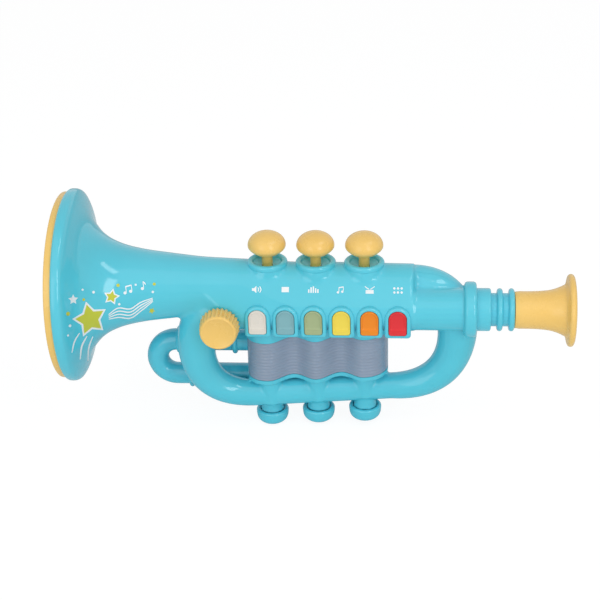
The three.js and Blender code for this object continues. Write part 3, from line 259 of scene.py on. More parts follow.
def drawn_line(name, points):
    """Line of edges, drawn by extruding one corner from point to point; it stays in edit mode."""
    clear_selection()
    bpy.ops.mesh.primitive_plane_add(size=MM, location=points[0])
    line = bpy.context.object
    line.name = name
    bpy.ops.object.transform_apply(location=True, rotation=True, scale=True)
    edit_mode()
    bpy.ops.mesh.select_mode(type="VERT")
    select_mesh()
    bpy.ops.mesh.merge(type="CENTER")
    for start, end in zip(points, points[1:]):
        bpy.ops.mesh.extrude_vertices_move(TRANSFORM_OT_translate={"value": end - start})
    return line


def spun(name, points, centre, axis, steps):
    """Turned piece from a closed profile line."""
    piece = drawn_line(name, points)
    select_mesh()
    bpy.ops.mesh.remove_doubles(threshold=0.0005 * MM)
    bpy.ops.mesh.spin(steps=steps, angle=FULL_TURN, center=centre, axis=axis)
    return tidy_mesh(piece)


def turned_x(name, profile, y, z, steps=96):
    points = [place(x, y, z + radius) for x, radius in profile]
    return spun(name, points, place(0, y, z), (1, 0, 0), steps)


def turned_y(name, profile, x, z, steps):
    points = [place(x, y, z + radius) for y, radius in profile]
    return spun(name, points, place(x, 0, z), (0, 1, 0), steps)


def turned_z(name, profile, x, y, steps=72):
    points = [place(x + radius, y, z) for radius, z in profile]
    return spun(name, points, place(x, y, 0), (0, 0, 1), steps)


def rod_x(name, radius, left, right, y, z, steps=64):
    return turned_x(name, [(left, 0), (left, radius), (right, radius), (right, 0)], y, z, steps)


def rod_y(name, radius, front, back, x, z, steps=48):
    return turned_y(name, [(front, 0), (front, radius), (back, radius), (back, 0)], x, z, steps)


def rod_z(name, radius, bottom, top, x, y):
    return turned_z(name, [(0, bottom), (radius, bottom), (radius, top), (0, top)], x, y, 48)


def box(name, left, right, front, back, bottom, top):
    clear_selection()
    low, high = place(left, front, bottom), place(right, back, top)
    bpy.ops.mesh.primitive_cube_add(size=1, location=(low + high) / 2)
    piece = bpy.context.object
    piece.name = name
    piece.scale = high - low
    return settle(piece)


def eased(points, steps):
    """Fine points on a smooth line through the given ones, all of them pairs."""
    line = [Vector((*point, 0)) for point in points]
    line = [line[0] * 2 - line[1], *line, line[-1] * 2 - line[-2]]
    fine = []
    for a, b, c, d in zip(line, line[1:], line[2:], line[3:]):
        knots = [0.0]
        for start, end in ((a, b), (b, c), (c, d)):
            knots.append(knots[-1] + max((end - start).length, 1e-6) ** 0.5)
        for k in range(steps):
            t = knots[1] + (knots[2] - knots[1]) * k / steps
            low = [
                start.lerp(end, (t - knots[i]) / (knots[i + 1] - knots[i]))
                for i, (start, end) in enumerate(((a, b), (b, c), (c, d)))
            ]
            middle = [
                low[i].lerp(low[i + 1], (t - knots[i]) / (knots[i + 2] - knots[i])) for i in (0, 1)
            ]
            fine.append(middle[0].lerp(middle[1], (t - knots[1]) / (knots[2] - knots[1])))
    return [(point.x, point.y) for point in (*fine, line[-2])]


def offset_line(line, distances):
    """Pairs of a line moved to its left, all by one distance or each by its own."""
    if not isinstance(distances, list):
        distances = [distances] * len(line)
    moved = []
    for i, ((x, y), distance) in enumerate(zip(line, distances)):
        before, after = line[max(i - 1, 0)], line[min(i + 1, len(line) - 1)]
        run = Vector((after[0] - before[0], after[1] - before[1])).normalized()
        moved.append((x - run.y * distance, y + run.x * distance))
    return moved


def arc(centre, radius, start, end, steps):
    """Points on an arc, from angles in degrees."""
    points = []
    for k in range(steps + 1):
        angle = math.radians(start + (end - start) * k / steps)
        points.append((centre[0] + radius * math.cos(angle), centre[1] + radius * math.sin(angle)))
    return points


def select_parts(piece, kind, test):
    """Opens a piece for editing with only those corners or faces selected that pass the test."""
    take(piece)
    edit_mode()
    bpy.ops.mesh.select_mode(type=kind)
    bpy.ops.mesh.select_all(action="DESELECT")
    object_mode()
    for part in piece.data.vertices if kind == "VERT" else piece.data.polygons:
        part.select = test(part)
    edit_mode()


def round_edge(piece, side, offset, segments):
    """Rounds the edge of the faces that look to the front or to the back."""
    select_parts(piece, "FACE", lambda face: side * face.normal.y > 0.9)
    bpy.ops.mesh.region_to_loop()
    bpy.ops.mesh.bevel(offset=offset * MM, segments=segments, affect="EDGES")
    object_mode()
    return piece


def extrude_outline(run):
    """In edit mode, fills the drawn outline and pushes it along."""
    select_mesh()
    bpy.ops.mesh.edge_face_add()
    bpy.ops.mesh.extrude_region_move(TRANSFORM_OT_translate={"value": [step * MM for step in run]})


def plate(name, outline, front, back):
    """Plate whose outline lies in x and z."""
    piece = drawn_line(name, [place(x, front, z) for x, z in outline])
    extrude_outline((0, back - front, 0))
    select_mesh()
    bpy.ops.mesh.normals_make_consistent(inside=False)
    object_mode()
    return piece


def prism(name, outline, bottom, top):
    """Upright block whose outline lies in x and y."""
    piece = drawn_line(name, [place(x, y, bottom) for x, y in outline])
    extrude_outline((0, 0, top - bottom))
    return tidy_mesh(piece)


def risen(piece):
    """Lifts each corner by its share of the way along x, as everything below the keys rises."""
    for corner in piece.data.vertices:
        corner.co.z += LOWER_RISE * (corner.co.x - HORN_ZERO.x * MM)
    return piece


def pipe(name, stations, resolution=10):
    """Closed tube along points, each with its own radius."""
    line = bpy.data.curves.new(name, "CURVE")
    line.dimensions = "3D"
    line.bevel_depth = MM
    line.bevel_resolution = resolution
    line.use_fill_caps = True
    spline = line.splines.new("POLY")
    spline.points.add(len(stations) - 1)
    for point, (where, radius) in zip(spline.points, stations):
        point.co = (*where, 1)
        point.radius = radius
    take(linked(bpy.data.objects.new(name, line)))
    bpy.ops.object.convert(target="MESH")
    return tidy_mesh(bpy.context.object)


def joined(name, pieces):
    clear_selection()
    for piece in pieces:
        piece.select_set(True)
    bpy.context.view_layer.objects.active = pieces[0]
    if len(pieces) > 1:
        bpy.ops.object.join()
    whole = bpy.context.object
    whole.name = name
    whole.data.name = name
    return whole


def copied(piece, name):
    twin = piece.copy()
    twin.data = piece.data.copy()
    twin.name = name
    twin.data.name = name
    return linked(twin)


def shifted(piece, x, y, z):
    piece.location = Vector((x, y, z)) * MM
    return settle(piece)


def repeated(first, name, places):
    """Copies of a piece at every place, numbered from 1, in its stead."""
    pieces = [shifted(copied(first, f"{name}_{i + 1}"), *where) for i, where in enumerate(places)]
    bpy.data.objects.remove(first)
    return pieces


def apply_modifier(piece, kind, **values):
    take(piece)
    bpy.ops.object.modifier_add(type=kind)
    modifier = piece.modifiers[-1]
    for key, value in values.items():
        setattr(modifier, key, value)
    bpy.ops.object.modifier_apply(modifier=modifier.name)
    return piece


def carve(piece, tool, operation="DIFFERENCE"):
    """Cuts one solid out of another, or joins or intersects them, and takes the tool away."""
    before = len(piece.data.polygons)
    apply_modifier(piece, "BOOLEAN", operation=operation, object=tool, solver="MANIFOLD")
    if len(piece.data.polygons) in (0, before):
        apply_modifier(piece, "BOOLEAN", operation=operation, object=tool, solver="EXACT")
    bpy.data.objects.remove(tool)
    return piece


def smooth_faces(piece, degrees):
    take(piece)
    bpy.ops.object.shade_smooth_by_angle(angle=math.radians(degrees))
    return piece


# ---------------------------------------------------------------- bell

BELL_END = -80
BELL_BACK = -160
BELL_FRONT = -165.4
BELL_RIM = 64.7
BELL_THROAT = 20
BELL_STEPS = 160
SLEEVE_END = -95
SHELL_WALL = 2.2
RIM_ROUNDING = 1.9
NECK_PLAY = 0.35
FLARE = [
    (0.0, 0.0), (0.225, 0.047), (0.438, 0.098), (0.613, 0.17), (0.738, 0.266), (0.813, 0.365),
    (0.863, 0.468), (0.9, 0.564), (0.925, 0.667), (0.944, 0.779), (0.96, 0.878), (0.975, 0.94),
    (0.99, 0.978), (1.01, 0.996), (1.03, 1.0),
]


def bell_line():
    """Outside of the flare from the throat to the rim, as pairs of x and radius."""
    points = [
        (BELL_END + (BELL_BACK - BELL_END) * along, BELL_THROAT + (BELL_RIM - BELL_THROAT) * growth)
        for along, growth in FLARE
    ]
    return [(x, min(radius, BELL_RIM)) for x, radius in eased(points, 6)]


def make_bell():
    outer = bell_line()
    seam = [point for point in outer if point[0] < SLEEVE_END]
    neck = [(x, radius - NECK_PLAY) for x, radius in outer if x > SLEEVE_END]
    rim = arc((BELL_FRONT + RIM_ROUNDING, BELL_RIM - RIM_ROUNDING), RIM_ROUNDING, 90, 180, 6)
    rim_inside = BELL_RIM - SHELL_WALL
    inner = [point for point in offset_line(outer, SHELL_WALL) if point[1] < rim_inside - 1]
    lip = [(BELL_FRONT, rim_inside), (BELL_BACK - 1.4, rim_inside)]
    plug = [(-80.3, 13.3), (-71, 13.3), (-71, 15.1), (-71.4, 15.5), (-80, 17.2)]
    start = neck[-1][1] + (seam[0][1] - neck[-1][1]) * 0.5
    step = [(SLEEVE_END, start - 0.15), (SLEEVE_END, seam[0][1] - 0.06)]
    profile = [*neck, *step, *seam, *rim, *lip, *reversed(inner), *plug, neck[0]]
    return smooth_faces(turned_x("bell_flare", profile, 0, 0, BELL_STEPS), 40)


def make_bell_ring():
    profile = [
        (-165.3, 62.6), (-168.6, 62.5), *arc((-168.9, 61.3), 1.2, 90, 180, 6), (-170.1, 56.4),
        *arc((-168.7, 56.0), 1.4, 180, 265, 6), (-165.9, 54.5), (-165.9, 60), (-161.9, 60.0),
        (-161.9, 62.2), (-165.3, 62.2), (-165.3, 62.6),
    ]
    return smooth_faces(turned_x("bell_rim_ring", profile, 0, 0, BELL_STEPS), 40)


# ---------------------------------------------------------------- housing shells

LEAD_Y = -9
LEAD_Z = -11.4
LEAD_END = 106.1
LEAD_RADIUS = 14.2
BOW_FULLNESS = 0.64
KEY_COUNT = 6
KEY_PITCH = 18.45
FIRST_KEY = -37.7
FRAME_Z = -14.45
CAP_Z = -14.3
BLOCK_HALF = 48
LOBE_DEPTH = 16.5
VALLEY_DEPTH = 7.6
SKIRT_Z = -33.2
BAND_Z = -62
BLOCK_BOTTOM = -65.4
KNOB_X = -62.6
KNOB_Z = -17
CELL_Z = -55
BAY_DEPTH = 23
FLANGE_RADIUS = 16.6
FLANGE_ROUNDING = 1.9
SEAM_PLAY = 0.06
DOOR_SCREW_X = 33.4
VALVES = (-VALVE_PITCH, 0, VALVE_PITCH)
# Place along x and z of each screw that closes the shells, and how deep its hole starts at the rear.
SCREWS = (
    (-66, 5, 18.8), (58, 3, 15.9), (94.3, -34, 13.2), (-40.6, -77.4, 23), (42, -75.4, 23),
)


def key_x(i):
    return FIRST_KEY + KEY_PITCH * i


def loop_stations(inset):
    """Middle line and radius of the tube from the neck round the left bow, the bar and the right bow."""
    corners = [
        ((LEAD_END, LEAD_Y, LEAD_Z), LEAD_RADIUS, ""),
        ((-55, LEAD_Y, LEAD_Z), LEAD_RADIUS, ""),
        ((-81.4, LEAD_Y, -40.2), 12.8, "out"),
        ((-44, -5.5, -78.8), 9.2, "in"),
        ((50, 0, -75), 9, ""),
        ((94.3, 0.5, -30.5), 13.4, "out"),
        ((64, 6, -0.8), 13.5, "in"),
        ((46, 5, 0), 12, ""),
    ]
    stations = [(place(*corners[0][0]), corners[0][1] - inset)]
    for (start, first, _), (end, last, turn) in zip(corners, corners[1:]):
        a, d = Vector(start), Vector(end)
        flat = Vector(((d.x - a.x) * BOW_FULLNESS, 0, 0))
        steep = Vector((0, 0, (d.z - a.z) * BOW_FULLNESS))
        b = a + (flat if turn == "out" else steep)
        c = d - (steep if turn == "out" else flat)
        steps = 20 if turn else 2
        for k in range(1, steps + 1):
            t = k / steps
            if turn:
                u = 1 - t
                point = a * u ** 3 + b * (3 * u * u * t) + c * (3 * u * t * t) + d * t ** 3
            else:
                point = a.lerp(d, t)
            stations.append((place(*point), first + (last - first) * t - inset))
    return stations


def body_blocks(inset):
    """Round body tube and the lead pipe in front of it, wrapped together station by station."""
    full = 14.7
    stations = [
        (-80, 20, 4.7), (-74, 19.5, 9.5), (-60, 18.8, full), (-48, 18.3, full),
        (-16, 16.6, full), (16, 16.6, full), (65, 15.9, full),
    ]
    blocks = []
    for i, (start, end) in enumerate(zip(stations, stations[1:])):
        rings = []
        for x, tube, lead in (start, end):
            for y, z, radius in ((0, 0, tube), (LEAD_Y, LEAD_Z, lead)):
                clear_selection()
                bpy.ops.mesh.primitive_circle_add(
                    vertices=72, radius=(radius - inset) * MM, location=place(x, y, z),
                    rotation=(0, math.pi / 2, 0),
                )
                rings.append(settle(bpy.context.object))
        block = joined(f"body_block_{i}", rings)
        edit_mode()
        select_mesh()
        bpy.ops.mesh.convex_hull()
        object_mode()
        blocks.append(tidy_mesh(block))
    return blocks


def wave_y(x):
    """Front of the valve block between the middles of its outer lobes."""
    swing = (LOBE_DEPTH - VALLEY_DEPTH) / 2
    return -(VALLEY_DEPTH + swing) - swing * math.cos(FULL_TURN * x / VALVE_PITCH)


def lobe_line(inset):
    """Front line of the valve block: a round lobe at each end and a wave between them."""
    steps = 14
    end = BLOCK_HALF - VALVE_PITCH
    left = [
        (-VALVE_PITCH - end * math.cos(angle), -LOBE_DEPTH * math.sin(angle))
        for angle in (math.pi / 2 * k / steps for k in range(steps + 1))
    ]
    count = 4 * steps
    wave = [-VALVE_PITCH + 2 * VALVE_PITCH * k / count for k in range(1, count)]
    right = [(-x, y) for x, y in reversed(left)]
    line = offset_line([*left, *((x, wave_y(x)) for x in wave), *right], inset)
    line[0] = (line[0][0], 0)
    line[-1] = (line[-1][0], 0)
    return line


def block_outline(inset, back):
    line = lobe_line(inset)
    return [*line, (line[-1][0], back), (line[0][0], back)]


def arch_outline(x, z, width, height, corner):
    """Outline with a half-round top and small lower corners."""
    half = width / 2
    top = arc((x, z + height / 2 - half), half, 0, 180, 20)
    foot = z - height / 2 + corner
    left = arc((x - half + corner, foot), corner, 180, 270, 4)
    right = arc((x + half - corner, foot), corner, 270, 360, 4)
    return [*top, *left, *right]


def rounded_outline(left, right, bottom, top, corner, steps=8):
    west, east, south, north = left + corner, right - corner, bottom + corner, top - corner
    outline = []
    for i, centre in enumerate(((east, north), (west, north), (west, south), (east, south))):
        outline += arc(centre, corner, 90 * i, 90 * (i + 1), steps)
    return outline


def bay_block(inset):
    outline = rounded_outline(-47.5 + inset, 47.5 - inset, -82.5 + inset, -5 - inset, 9 - inset)
    front = -0.5 if inset == 0 else -1
    return round_edge(plate("battery_bay", outline, front, BAY_DEPTH - inset), BACK, 4, 6)


def outer_forms():
    """Every form of the housing's outside, as closed solids that run into each other."""
    loop = loop_stations(0)
    sleeve = [(x, radius) for x, radius in bell_line() if x > SLEEVE_END - 8]
    sleeve = [(-78, 0), (-78, 19.8), *sleeve, (sleeve[-1][0], 0), (-78, 0)]
    neck_root = [
        (98.0, 0), (98.0, FLANGE_RADIUS),
        *arc((99.9, FLANGE_RADIUS), FLANGE_ROUNDING, 180, 90, 5),
        *arc((104.2, FLANGE_RADIUS), FLANGE_ROUNDING, 90, 0, 5),
        (LEAD_END, 0), (98.0, 0),
    ]
    root = [(0, 6), (13.8, 6), (13.3, 14), (12.9, 17.6), (0, 17.6), (0, 6)]
    column = [
        (0, -92.0), (8.4, -92.0), (7.7, -90.6), (7.3, -88.6), (7.2, -86), (7.2, -64), (0, -64), (0, -92.0),
    ]
    forms = [
        *body_blocks(0), pipe("loop_front", loop[:26]), pipe("loop_back", loop[22:]),
        turned_x("bell_sleeve", sleeve, 0, 0), turned_x("neck_flange", neck_root, LEAD_Y, LEAD_Z),
        risen(prism("valve_block", block_outline(0, 0.3), BLOCK_BOTTOM, -22)), bay_block(0),
        rod_y("knob_boss", 7.5, -24.6, LEAD_Y, KNOB_X, KNOB_Z),
    ]
    for x in VALVES:
        rise = LOWER_RISE * x
        forms += [
            turned_z("collar_root", root, x, 0),
            shifted(turned_z("valve_column", column, x, 0), 0, 0, rise),
            shifted(rod_z("column_front", 7.5, -82, -62, x, -5.2 + rise), 0, 0, rise),
        ]
    return forms


def crisp_forms():
    """Forms whose edges stay clear of the softening: key frames and the lips of the collars."""
    forms = []
    for i in range(KEY_COUNT):
        outline = arch_outline(key_x(i), FRAME_Z, 17.3, 22.5, 2.2)
        forms.append(round_edge(plate(f"key_frame_{i}", outline, -25.3, -8), FRONT, 1.9, 6))
    lip = [
        (0, 14.5), (11.8, 14.5), (12.7, 15.9), (13.3, 16.5), (13.4, 17.2),
        *arc((11.5, 17.9), 1.9, 0, 90, 8), (0, 19.8), (0, 14.5),
    ]
    for x in VALVES:
        forms.append(turned_z("collar_lip", lip, x, 0))
    return forms


def inner_forms():
    """The hollow of the housing."""
    loop = loop_stations(SHELL_WALL)
    forms = [
        *body_blocks(SHELL_WALL),
        pipe("loop_hollow_front", loop[:26], 6), pipe("loop_hollow_back", loop[22:], 6),
        risen(prism("block_hollow", block_outline(1, 0.3), BLOCK_BOTTOM + 1, -20)), bay_block(SHELL_WALL),
    ]
    for x in VALVES:
        rise = LOWER_RISE * x
        forms.append(rod_z("column_hollow", 6, -87 + rise, -70 + rise, x, 0))
    return forms


def fused(name, forms, voxel, rounds):
    """One closed skin round all the forms, with their meeting lines softened."""
    whole = joined(name, forms)
    apply_modifier(whole, "REMESH", mode="VOXEL", voxel_size=voxel * MM)
    apply_modifier(whole, "SMOOTH", factor=0.5, iterations=rounds)
    return whole


def soften(piece, centre, reach, rounds):
    """Smooths the skin further within a ball, for a wide fillet where two forms meet."""
    middle = place(*centre)
    select_parts(piece, "VERT", lambda corner: (corner.co - middle).length < reach * MM)
    bpy.ops.mesh.vertices_smooth(factor=0.5, repeat=rounds)
    object_mode()


def inner_stands():
    """Valve guides, screw bosses and the frame of the battery door, which stand in the hollow."""
    stands = [rod_z("valve_guide", 11.4, 9.8, 16.4, x, 0) for x in VALVES]
    stands += [rod_y("screw_boss", 4, 0.5, rear - 1, x, z) for x, z, rear in SCREWS]
    stands.append(plate("door_seat", rounded_outline(-38.2, 40.2, -81.7, -27.6, 5), 18.5, 22.2))
    return stands


def openings():
    """Solids of every hole and window through the walls."""
    cuts = [risen(prism("casing_window", block_outline(-1, 0.05), BAND_Z, SKIRT_Z))]
    for i in range(KEY_COUNT):
        for width, height, front in ((12.3, 18.1, -27), (13.8, 19.6, -21.4)):
            cuts.append(plate("key_slot", arch_outline(key_x(i), CAP_Z, width, height, 1.9), front, -14.7))
    recess = [
        (0, 15.5), (4.6, 15.5), (7.6, 16.7), (9.2, 17.7), (9.5, 18.4), (9.9, 19.2), (10.4, 19.6),
        (11.0, 19.85), (0, 19.85), (0, 15.5),
    ]
    for x in VALVES:
        cuts += [turned_z("collar_recess", recess, x, 0), rod_z("stem_hole", 3.9, 8, 15.8, x, 0)]
    throat = [(x, radius - 0.3) for x, radius in bell_line() if x > SLEEVE_END - 8]
    bore = [(-79, 0), (-79, 17.6), (-80, 17.6), *throat, (throat[-1][0], 0), (-79, 0)]
    cuts += [
        rod_y("knob_hole", 3.3, -26, LEAD_Y, KNOB_X, KNOB_Z),
        rod_x("neck_socket", 12, 93.5, 107.5, LEAD_Y, LEAD_Z),
        rod_x("neck_room", 14.5, LEAD_END, 110, LEAD_Y, LEAD_Z),
        box("sleeve_end", -130, SLEEVE_END, -40, 40, -26, 40),
        turned_x("sleeve_bore", bore, 0, 0),
    ]
    cuts += [rod_y("screw_hole", 3.2, rear - 5.2, rear + 1, x, z) for x, z, rear in SCREWS]
    cuts.append(plate("door_recess", rounded_outline(-36.3, 38.3, -80.8, -29.2, 4.3), 20.7, 25))
    cuts.append(box("tray_room", -35.25, 24.65, 3.1, 22, -79.7, -30.3))
    return cuts


def make_shells():
    """Front and rear shell, cut from one skin at the seam."""
    skin = fused("housing", outer_forms(), 0.7, 10)
    soften(skin, (-84, -17, -14), 13, 40)
    for fillet, reach in (((-70, -20, 0), 14), ((66, -8, 9), 14), *(((x, -13, 8), 10) for x in VALVES)):
        soften(skin, fillet, reach, 30)
    for form in crisp_forms():
        carve(skin, form, "UNION")
    carve(skin, fused("housing_hollow", inner_forms(), 1.2, 2))
    for stand in inner_stands():
        carve(skin, stand, "UNION")
    for opening in openings():
        carve(skin, opening)
    rear = copied(skin, "rear_housing")
    skin.name = "front_housing"
    skin.data.name = "front_housing"
    carve(skin, box("rear_space", -200, 200, -SEAM_PLAY, 100, -150, 100))
    carve(rear, box("front_space", -200, 200, -100, SEAM_PLAY, -150, 100))
    return smooth_faces(skin, 32), smooth_faces(rear, 32)


# ---------------------------------------------------------------- tubes, caps and controls

SLIDE_Y = 12.1


def make_slide():
    """U-shaped slide tube with its raised beads."""
    top, bottom, left, right = -47.3, -73.9, -98.6, -45.2
    middle, bend = (top + bottom) / 2, (top - bottom) / 2
    line = [(right, top)]
    line += arc((left, middle), bend, 90, 270, 32)
    line.append((right, bottom))
    tube = pipe("slide_bow", [(place(x, SLIDE_Y, z), 7.5) for x, z in line])
    beads = []
    for x, z in ((-96, top), (-57.4, top), (-88.5, bottom)):
        bead = [
            (x - 1.9, 0), (x - 1.9, 7.3), *arc((x, 7.9), 1.7, 172, 8, 10), (x + 1.9, 7.3), (x + 1.9, 0),
            (x - 1.9, 0),
        ]
        beads.append(turned_x("slide_bead", bead, SLIDE_Y, z, 64))
    for bead in beads:
        carve(tube, bead, "UNION")
    return smooth_faces(tube, 40)


def make_neck():
    profile = [
        (94.1, 8.3), (94.1, 11.7), (106.15, 11.7), (106.15, 14.2), (114.1, 14.2),
        *arc((114.1, 12.9), 1.3, 90, 0, 6), (115.4, 11.0),
    ]
    for left in (119.3, 127.0):
        right = left + 3.8
        profile += [(left - 0.4, 11.0), (left, 11.5), *arc((left + 1.9, 12.3), 1.9, 180, 0, 12)]
        profile += [(right, 11.5), (right + 0.4, 11.0)] if left < 125 else [(right, 8.3)]
    profile.append((94.1, 8.3))
    return smooth_faces(turned_x("neck_rings", profile, LEAD_Y, LEAD_Z), 40)


def make_mouthpiece():
    start, rim_back, end = 131.1, 165.3, 169.9
    flare = [(0, 0), (0.4, 0.01), (0.64, 0.07), (0.76, 0.15), (0.87, 0.27), (0.96, 0.4)]
    outer = eased([(start + (rim_back - start) * a, 12.4 + 12.0 * g) for a, g in flare], 5)
    rim = eased([
        (rim_back, 20.4), (rim_back + 0.15, 22.3), (rim_back + 0.9, 23.5), (rim_back + 2.3, 24.0),
        (end - 1.0, 23.5), (end - 0.2, 22.3), (end, 21.0), (end - 0.6, 19.8),
        (end - 3.4, 18.2), (end - 7.5, 12.6), (end - 12, 7.4), (end - 15, 4.5),
    ], 4)
    profile = [(119.1, 4.5), (119.1, 8.0), (start, 8.0), (start, 12.0), *outer[1:]]
    profile += [(min(x, end), radius) for x, radius in rim]
    profile.append((119.1, 4.5))
    return smooth_faces(turned_x("mouth_cup", profile, LEAD_Y, LEAD_Z, 112), 40)


def make_buttons():
    """Mushroom buttons, each on its stem with the disc that stops it."""
    radius, brim, height, steps = 12.6, 30.5, 9.2, 16
    angles = [math.pi / 2 * k / steps for k in range(1, steps)]
    dome = [(radius * math.cos(angle), brim + height * math.sin(angle)) for angle in angles]
    under = eased([(3.6, 22.3), (4.2, 23.2), (7.6, 24.9), (11.2, 27.6), (12.4, 29.3), (radius, brim)], 4)
    stem = [(0, 4.8), (1.7, 4.8), (2.0, 5.1), (2.0, 8.0), (6.2, 8.0), (6.2, 9.5), (3.6, 9.5)]
    first = turned_z("valve_cap", [*stem, *under, *dome, (0, brim + height)], 0, 0, 96)
    return repeated(smooth_faces(first, 40), "valve_cap", [(x, 0, 0) for x in VALVES])


SPRING_BOTTOM = -5.7
SPRING_TOP = 7.7


def make_springs():
    """Coils that lift the valve buttons."""
    radius, wire, turns, steps = 5, 0.45, 4, 16
    springs = []
    for i, x in enumerate(VALVES):
        line = []
        for k in range(turns * steps + 1):
            angle = FULL_TURN * k / steps
            z = SPRING_BOTTOM + wire + (SPRING_TOP - SPRING_BOTTOM - 2 * wire) * k / (turns * steps)
            line.append((place(x + radius * math.cos(angle), radius * math.sin(angle), z), wire))
        springs.append(smooth_faces(pipe(f"return_spring_{i + 1}", line, 2), 60))
    return springs


def make_bottom_caps():
    """Caps that close the valve columns from below."""
    bottom, rim, top, radius = -101.6, -93.1, -84.9, 11.1
    curve = eased([
        (0.01, bottom), (4.6, bottom + 0.05), (7.6, bottom + 0.7), (9.6, bottom + 2.3),
        (10.6, bottom + 4.2), (11.0, rim - 1.6), (radius, rim),
    ], 4)
    profile = [(0, bottom)] + [(min(x, radius), max(z, bottom)) for x, z in curve]
    profile += arc((9.5, rim + 0.1), 1.6, 5, 125, 10)
    profile += [(8.2, rim + 0.5), (8.2, rim - 0.4), (5.7, rim - 0.4), (5.7, top), (0, top), (0, bottom)]
    first = smooth_faces(turned_z("column_cap", profile, 0, 0), 40)
    return repeated(first, "column_cap", [(x, 0, LOWER_RISE * x) for x in VALVES])


def make_knob():
    """Ribbed cone with a stepped flat face."""
    base, face, ribs, rib_depth = -25.2, -36.8, 27, 1.1
    profile = [
        (face + 0.55, 0), (face + 0.55, 9.9), (face + 0.15, 10.4), (face, 10.8), (face + 0.15, 11.3),
        (face + 0.8, 11.9), (face + 1.6, 12.3), (face + 2.6, 12.55), (face + 5, 12.8), (face + 8, 13.1),
        (base - 0.4, 13.4), (base, 13.1), (base, 3), (-11.3, 3), (-11.3, 0), (face + 0.55, 0),
    ]
    knob = turned_y("volume_knob", profile, KNOB_X, KNOB_Z, 240)
    centre = place(KNOB_X, 0, KNOB_Z)
    for corner in knob.data.vertices:
        out = corner.co - centre
        out.y = 0
        along = corner.co.y / MM - face - 1.2
        if out.length < 11.8 * MM or along < 0:
            continue
        wave = 0.5 - 0.5 * math.cos(ribs * math.atan2(out.z, out.x))
        depth = rib_depth * min(along / 1.6, 1)
        corner.co -= out.normalized() * depth * MM * wave ** 1.4
    return smooth_faces(knob, 50)


def make_keys():
    """Six dished keys, modelled once."""
    x, z, front = 0, CAP_Z, -26
    body = round_edge(plate("key_top", arch_outline(x, z, 11.6, 17.4, 1.7), front, -20.4), FRONT, 0.5, 4)
    dish = plate("key_dish", arch_outline(x, z + 1.2, 9.8, 13.2, 1.3), -27, front + 0.75)
    round_edge(dish, BACK, 0.5, 4)
    middle = place(x, front, z)
    for corner in dish.data.vertices:
        if corner.co.z < middle.z and corner.co.y > middle.y:
            corner.co.z += 2.4 * (corner.co.y - middle.y)
    carve(body, dish)
    carve(body, plate("key_flange", arch_outline(x, z, 13.2, 19.0, 1.8), -21, -19.9), "UNION")
    carve(body, rod_y("key_post", 2.2, -21, -17.1, x, z, 24), "UNION")
    return repeated(smooth_faces(body, 40), "key_cap", [(key_x(i), 0, 0) for i in range(KEY_COUNT)])


def make_casing():
    """Three-lobed window whose front carries fine level ribs."""
    bottom, top = BAND_Z + 0.3, SKIRT_Z - 0.3
    ribs, cuts, rib_depth = 12, 8, 0.3
    outline = [*lobe_line(0.25), *reversed(lobe_line(1.6))]
    casing = take(prism("ribbed_casing", outline, bottom, top))
    edit_mode()
    pitch = (top - bottom) / ribs
    for k in range(1, cuts * ribs):
        select_mesh()
        bpy.ops.mesh.bisect(plane_co=place(0, 0, bottom + pitch * k / cuts), plane_no=(0, 0, 1))
    object_mode()
    for corner in casing.data.vertices:
        x = corner.co.x / MM - HORN_ZERO.x
        y = corner.co.y / MM
        z = corner.co.z / MM - HORN_ZERO.z
        face = wave_y(x)
        if abs(x) > VALVE_PITCH:
            share = min((abs(x) - VALVE_PITCH) / (BLOCK_HALF - VALVE_PITCH), 1)
            face = -LOBE_DEPTH * math.sqrt(1 - share * share)
        if abs(y - face) < 0.8 and y < -1:
            phase = (z - bottom) / pitch
            corner.co.y += rib_depth * MM * (1 - math.cos(FULL_TURN * phase)) / 2
    return smooth_faces(risen(tidy_mesh(casing)), 60)


def make_door():
    """Lid of the battery bay with its screw hole and the grooves of its grip."""
    door = round_edge(plate("bay_door", rounded_outline(-36, 38, -80.5, -29.5, 4), 21, 23), BACK, 0.5, 3)
    carve(door, rod_y("door_screw_hole", 3.3, 21.9, 24, DOOR_SCREW_X, CELL_Z))
    carve(door, rod_y("door_shank_hole", 1.8, 20, 24, DOOR_SCREW_X, CELL_Z))
    grooves, pitch = 7, 2.6
    for k in range(grooves):
        z = CELL_Z + (k - grooves // 2) * pitch
        carve(door, plate("grip_groove", rounded_outline(18, 27, z - 0.6, z + 0.6, 0.55, 4), 22.4, 24))
    return smooth_faces(door, 40)


def make_screws():
    """Cross-head screws: five that close the shells and one in the door."""
    head = turned_y("screw_form", [
        (2.2, 0), (2.2, 1.6), (1.6, 2.6), (0.9, 2.85), (0, 2.9), (0, 1.5), (-5, 1.5), (-6, 0), (2.2, 0),
    ], 0, 0, 32)
    carve(head, box("cross_slot", -1.5, 1.5, 1.1, 3, -0.32, 0.32))
    carve(head, box("cross_slot", -0.32, 0.32, 1.1, 3, -1.5, 1.5))
    smooth_faces(head, 30)
    screws = [
        shifted(copied(head, f"shell_screw_{i + 1}"), x, rear - 5.1, z)
        for i, (x, z, rear) in enumerate(SCREWS)
    ]
    screws.append(shifted(copied(head, "bay_screw"), DOOR_SCREW_X, 21.9, CELL_Z))
    bpy.data.objects.remove(head)
    return screws


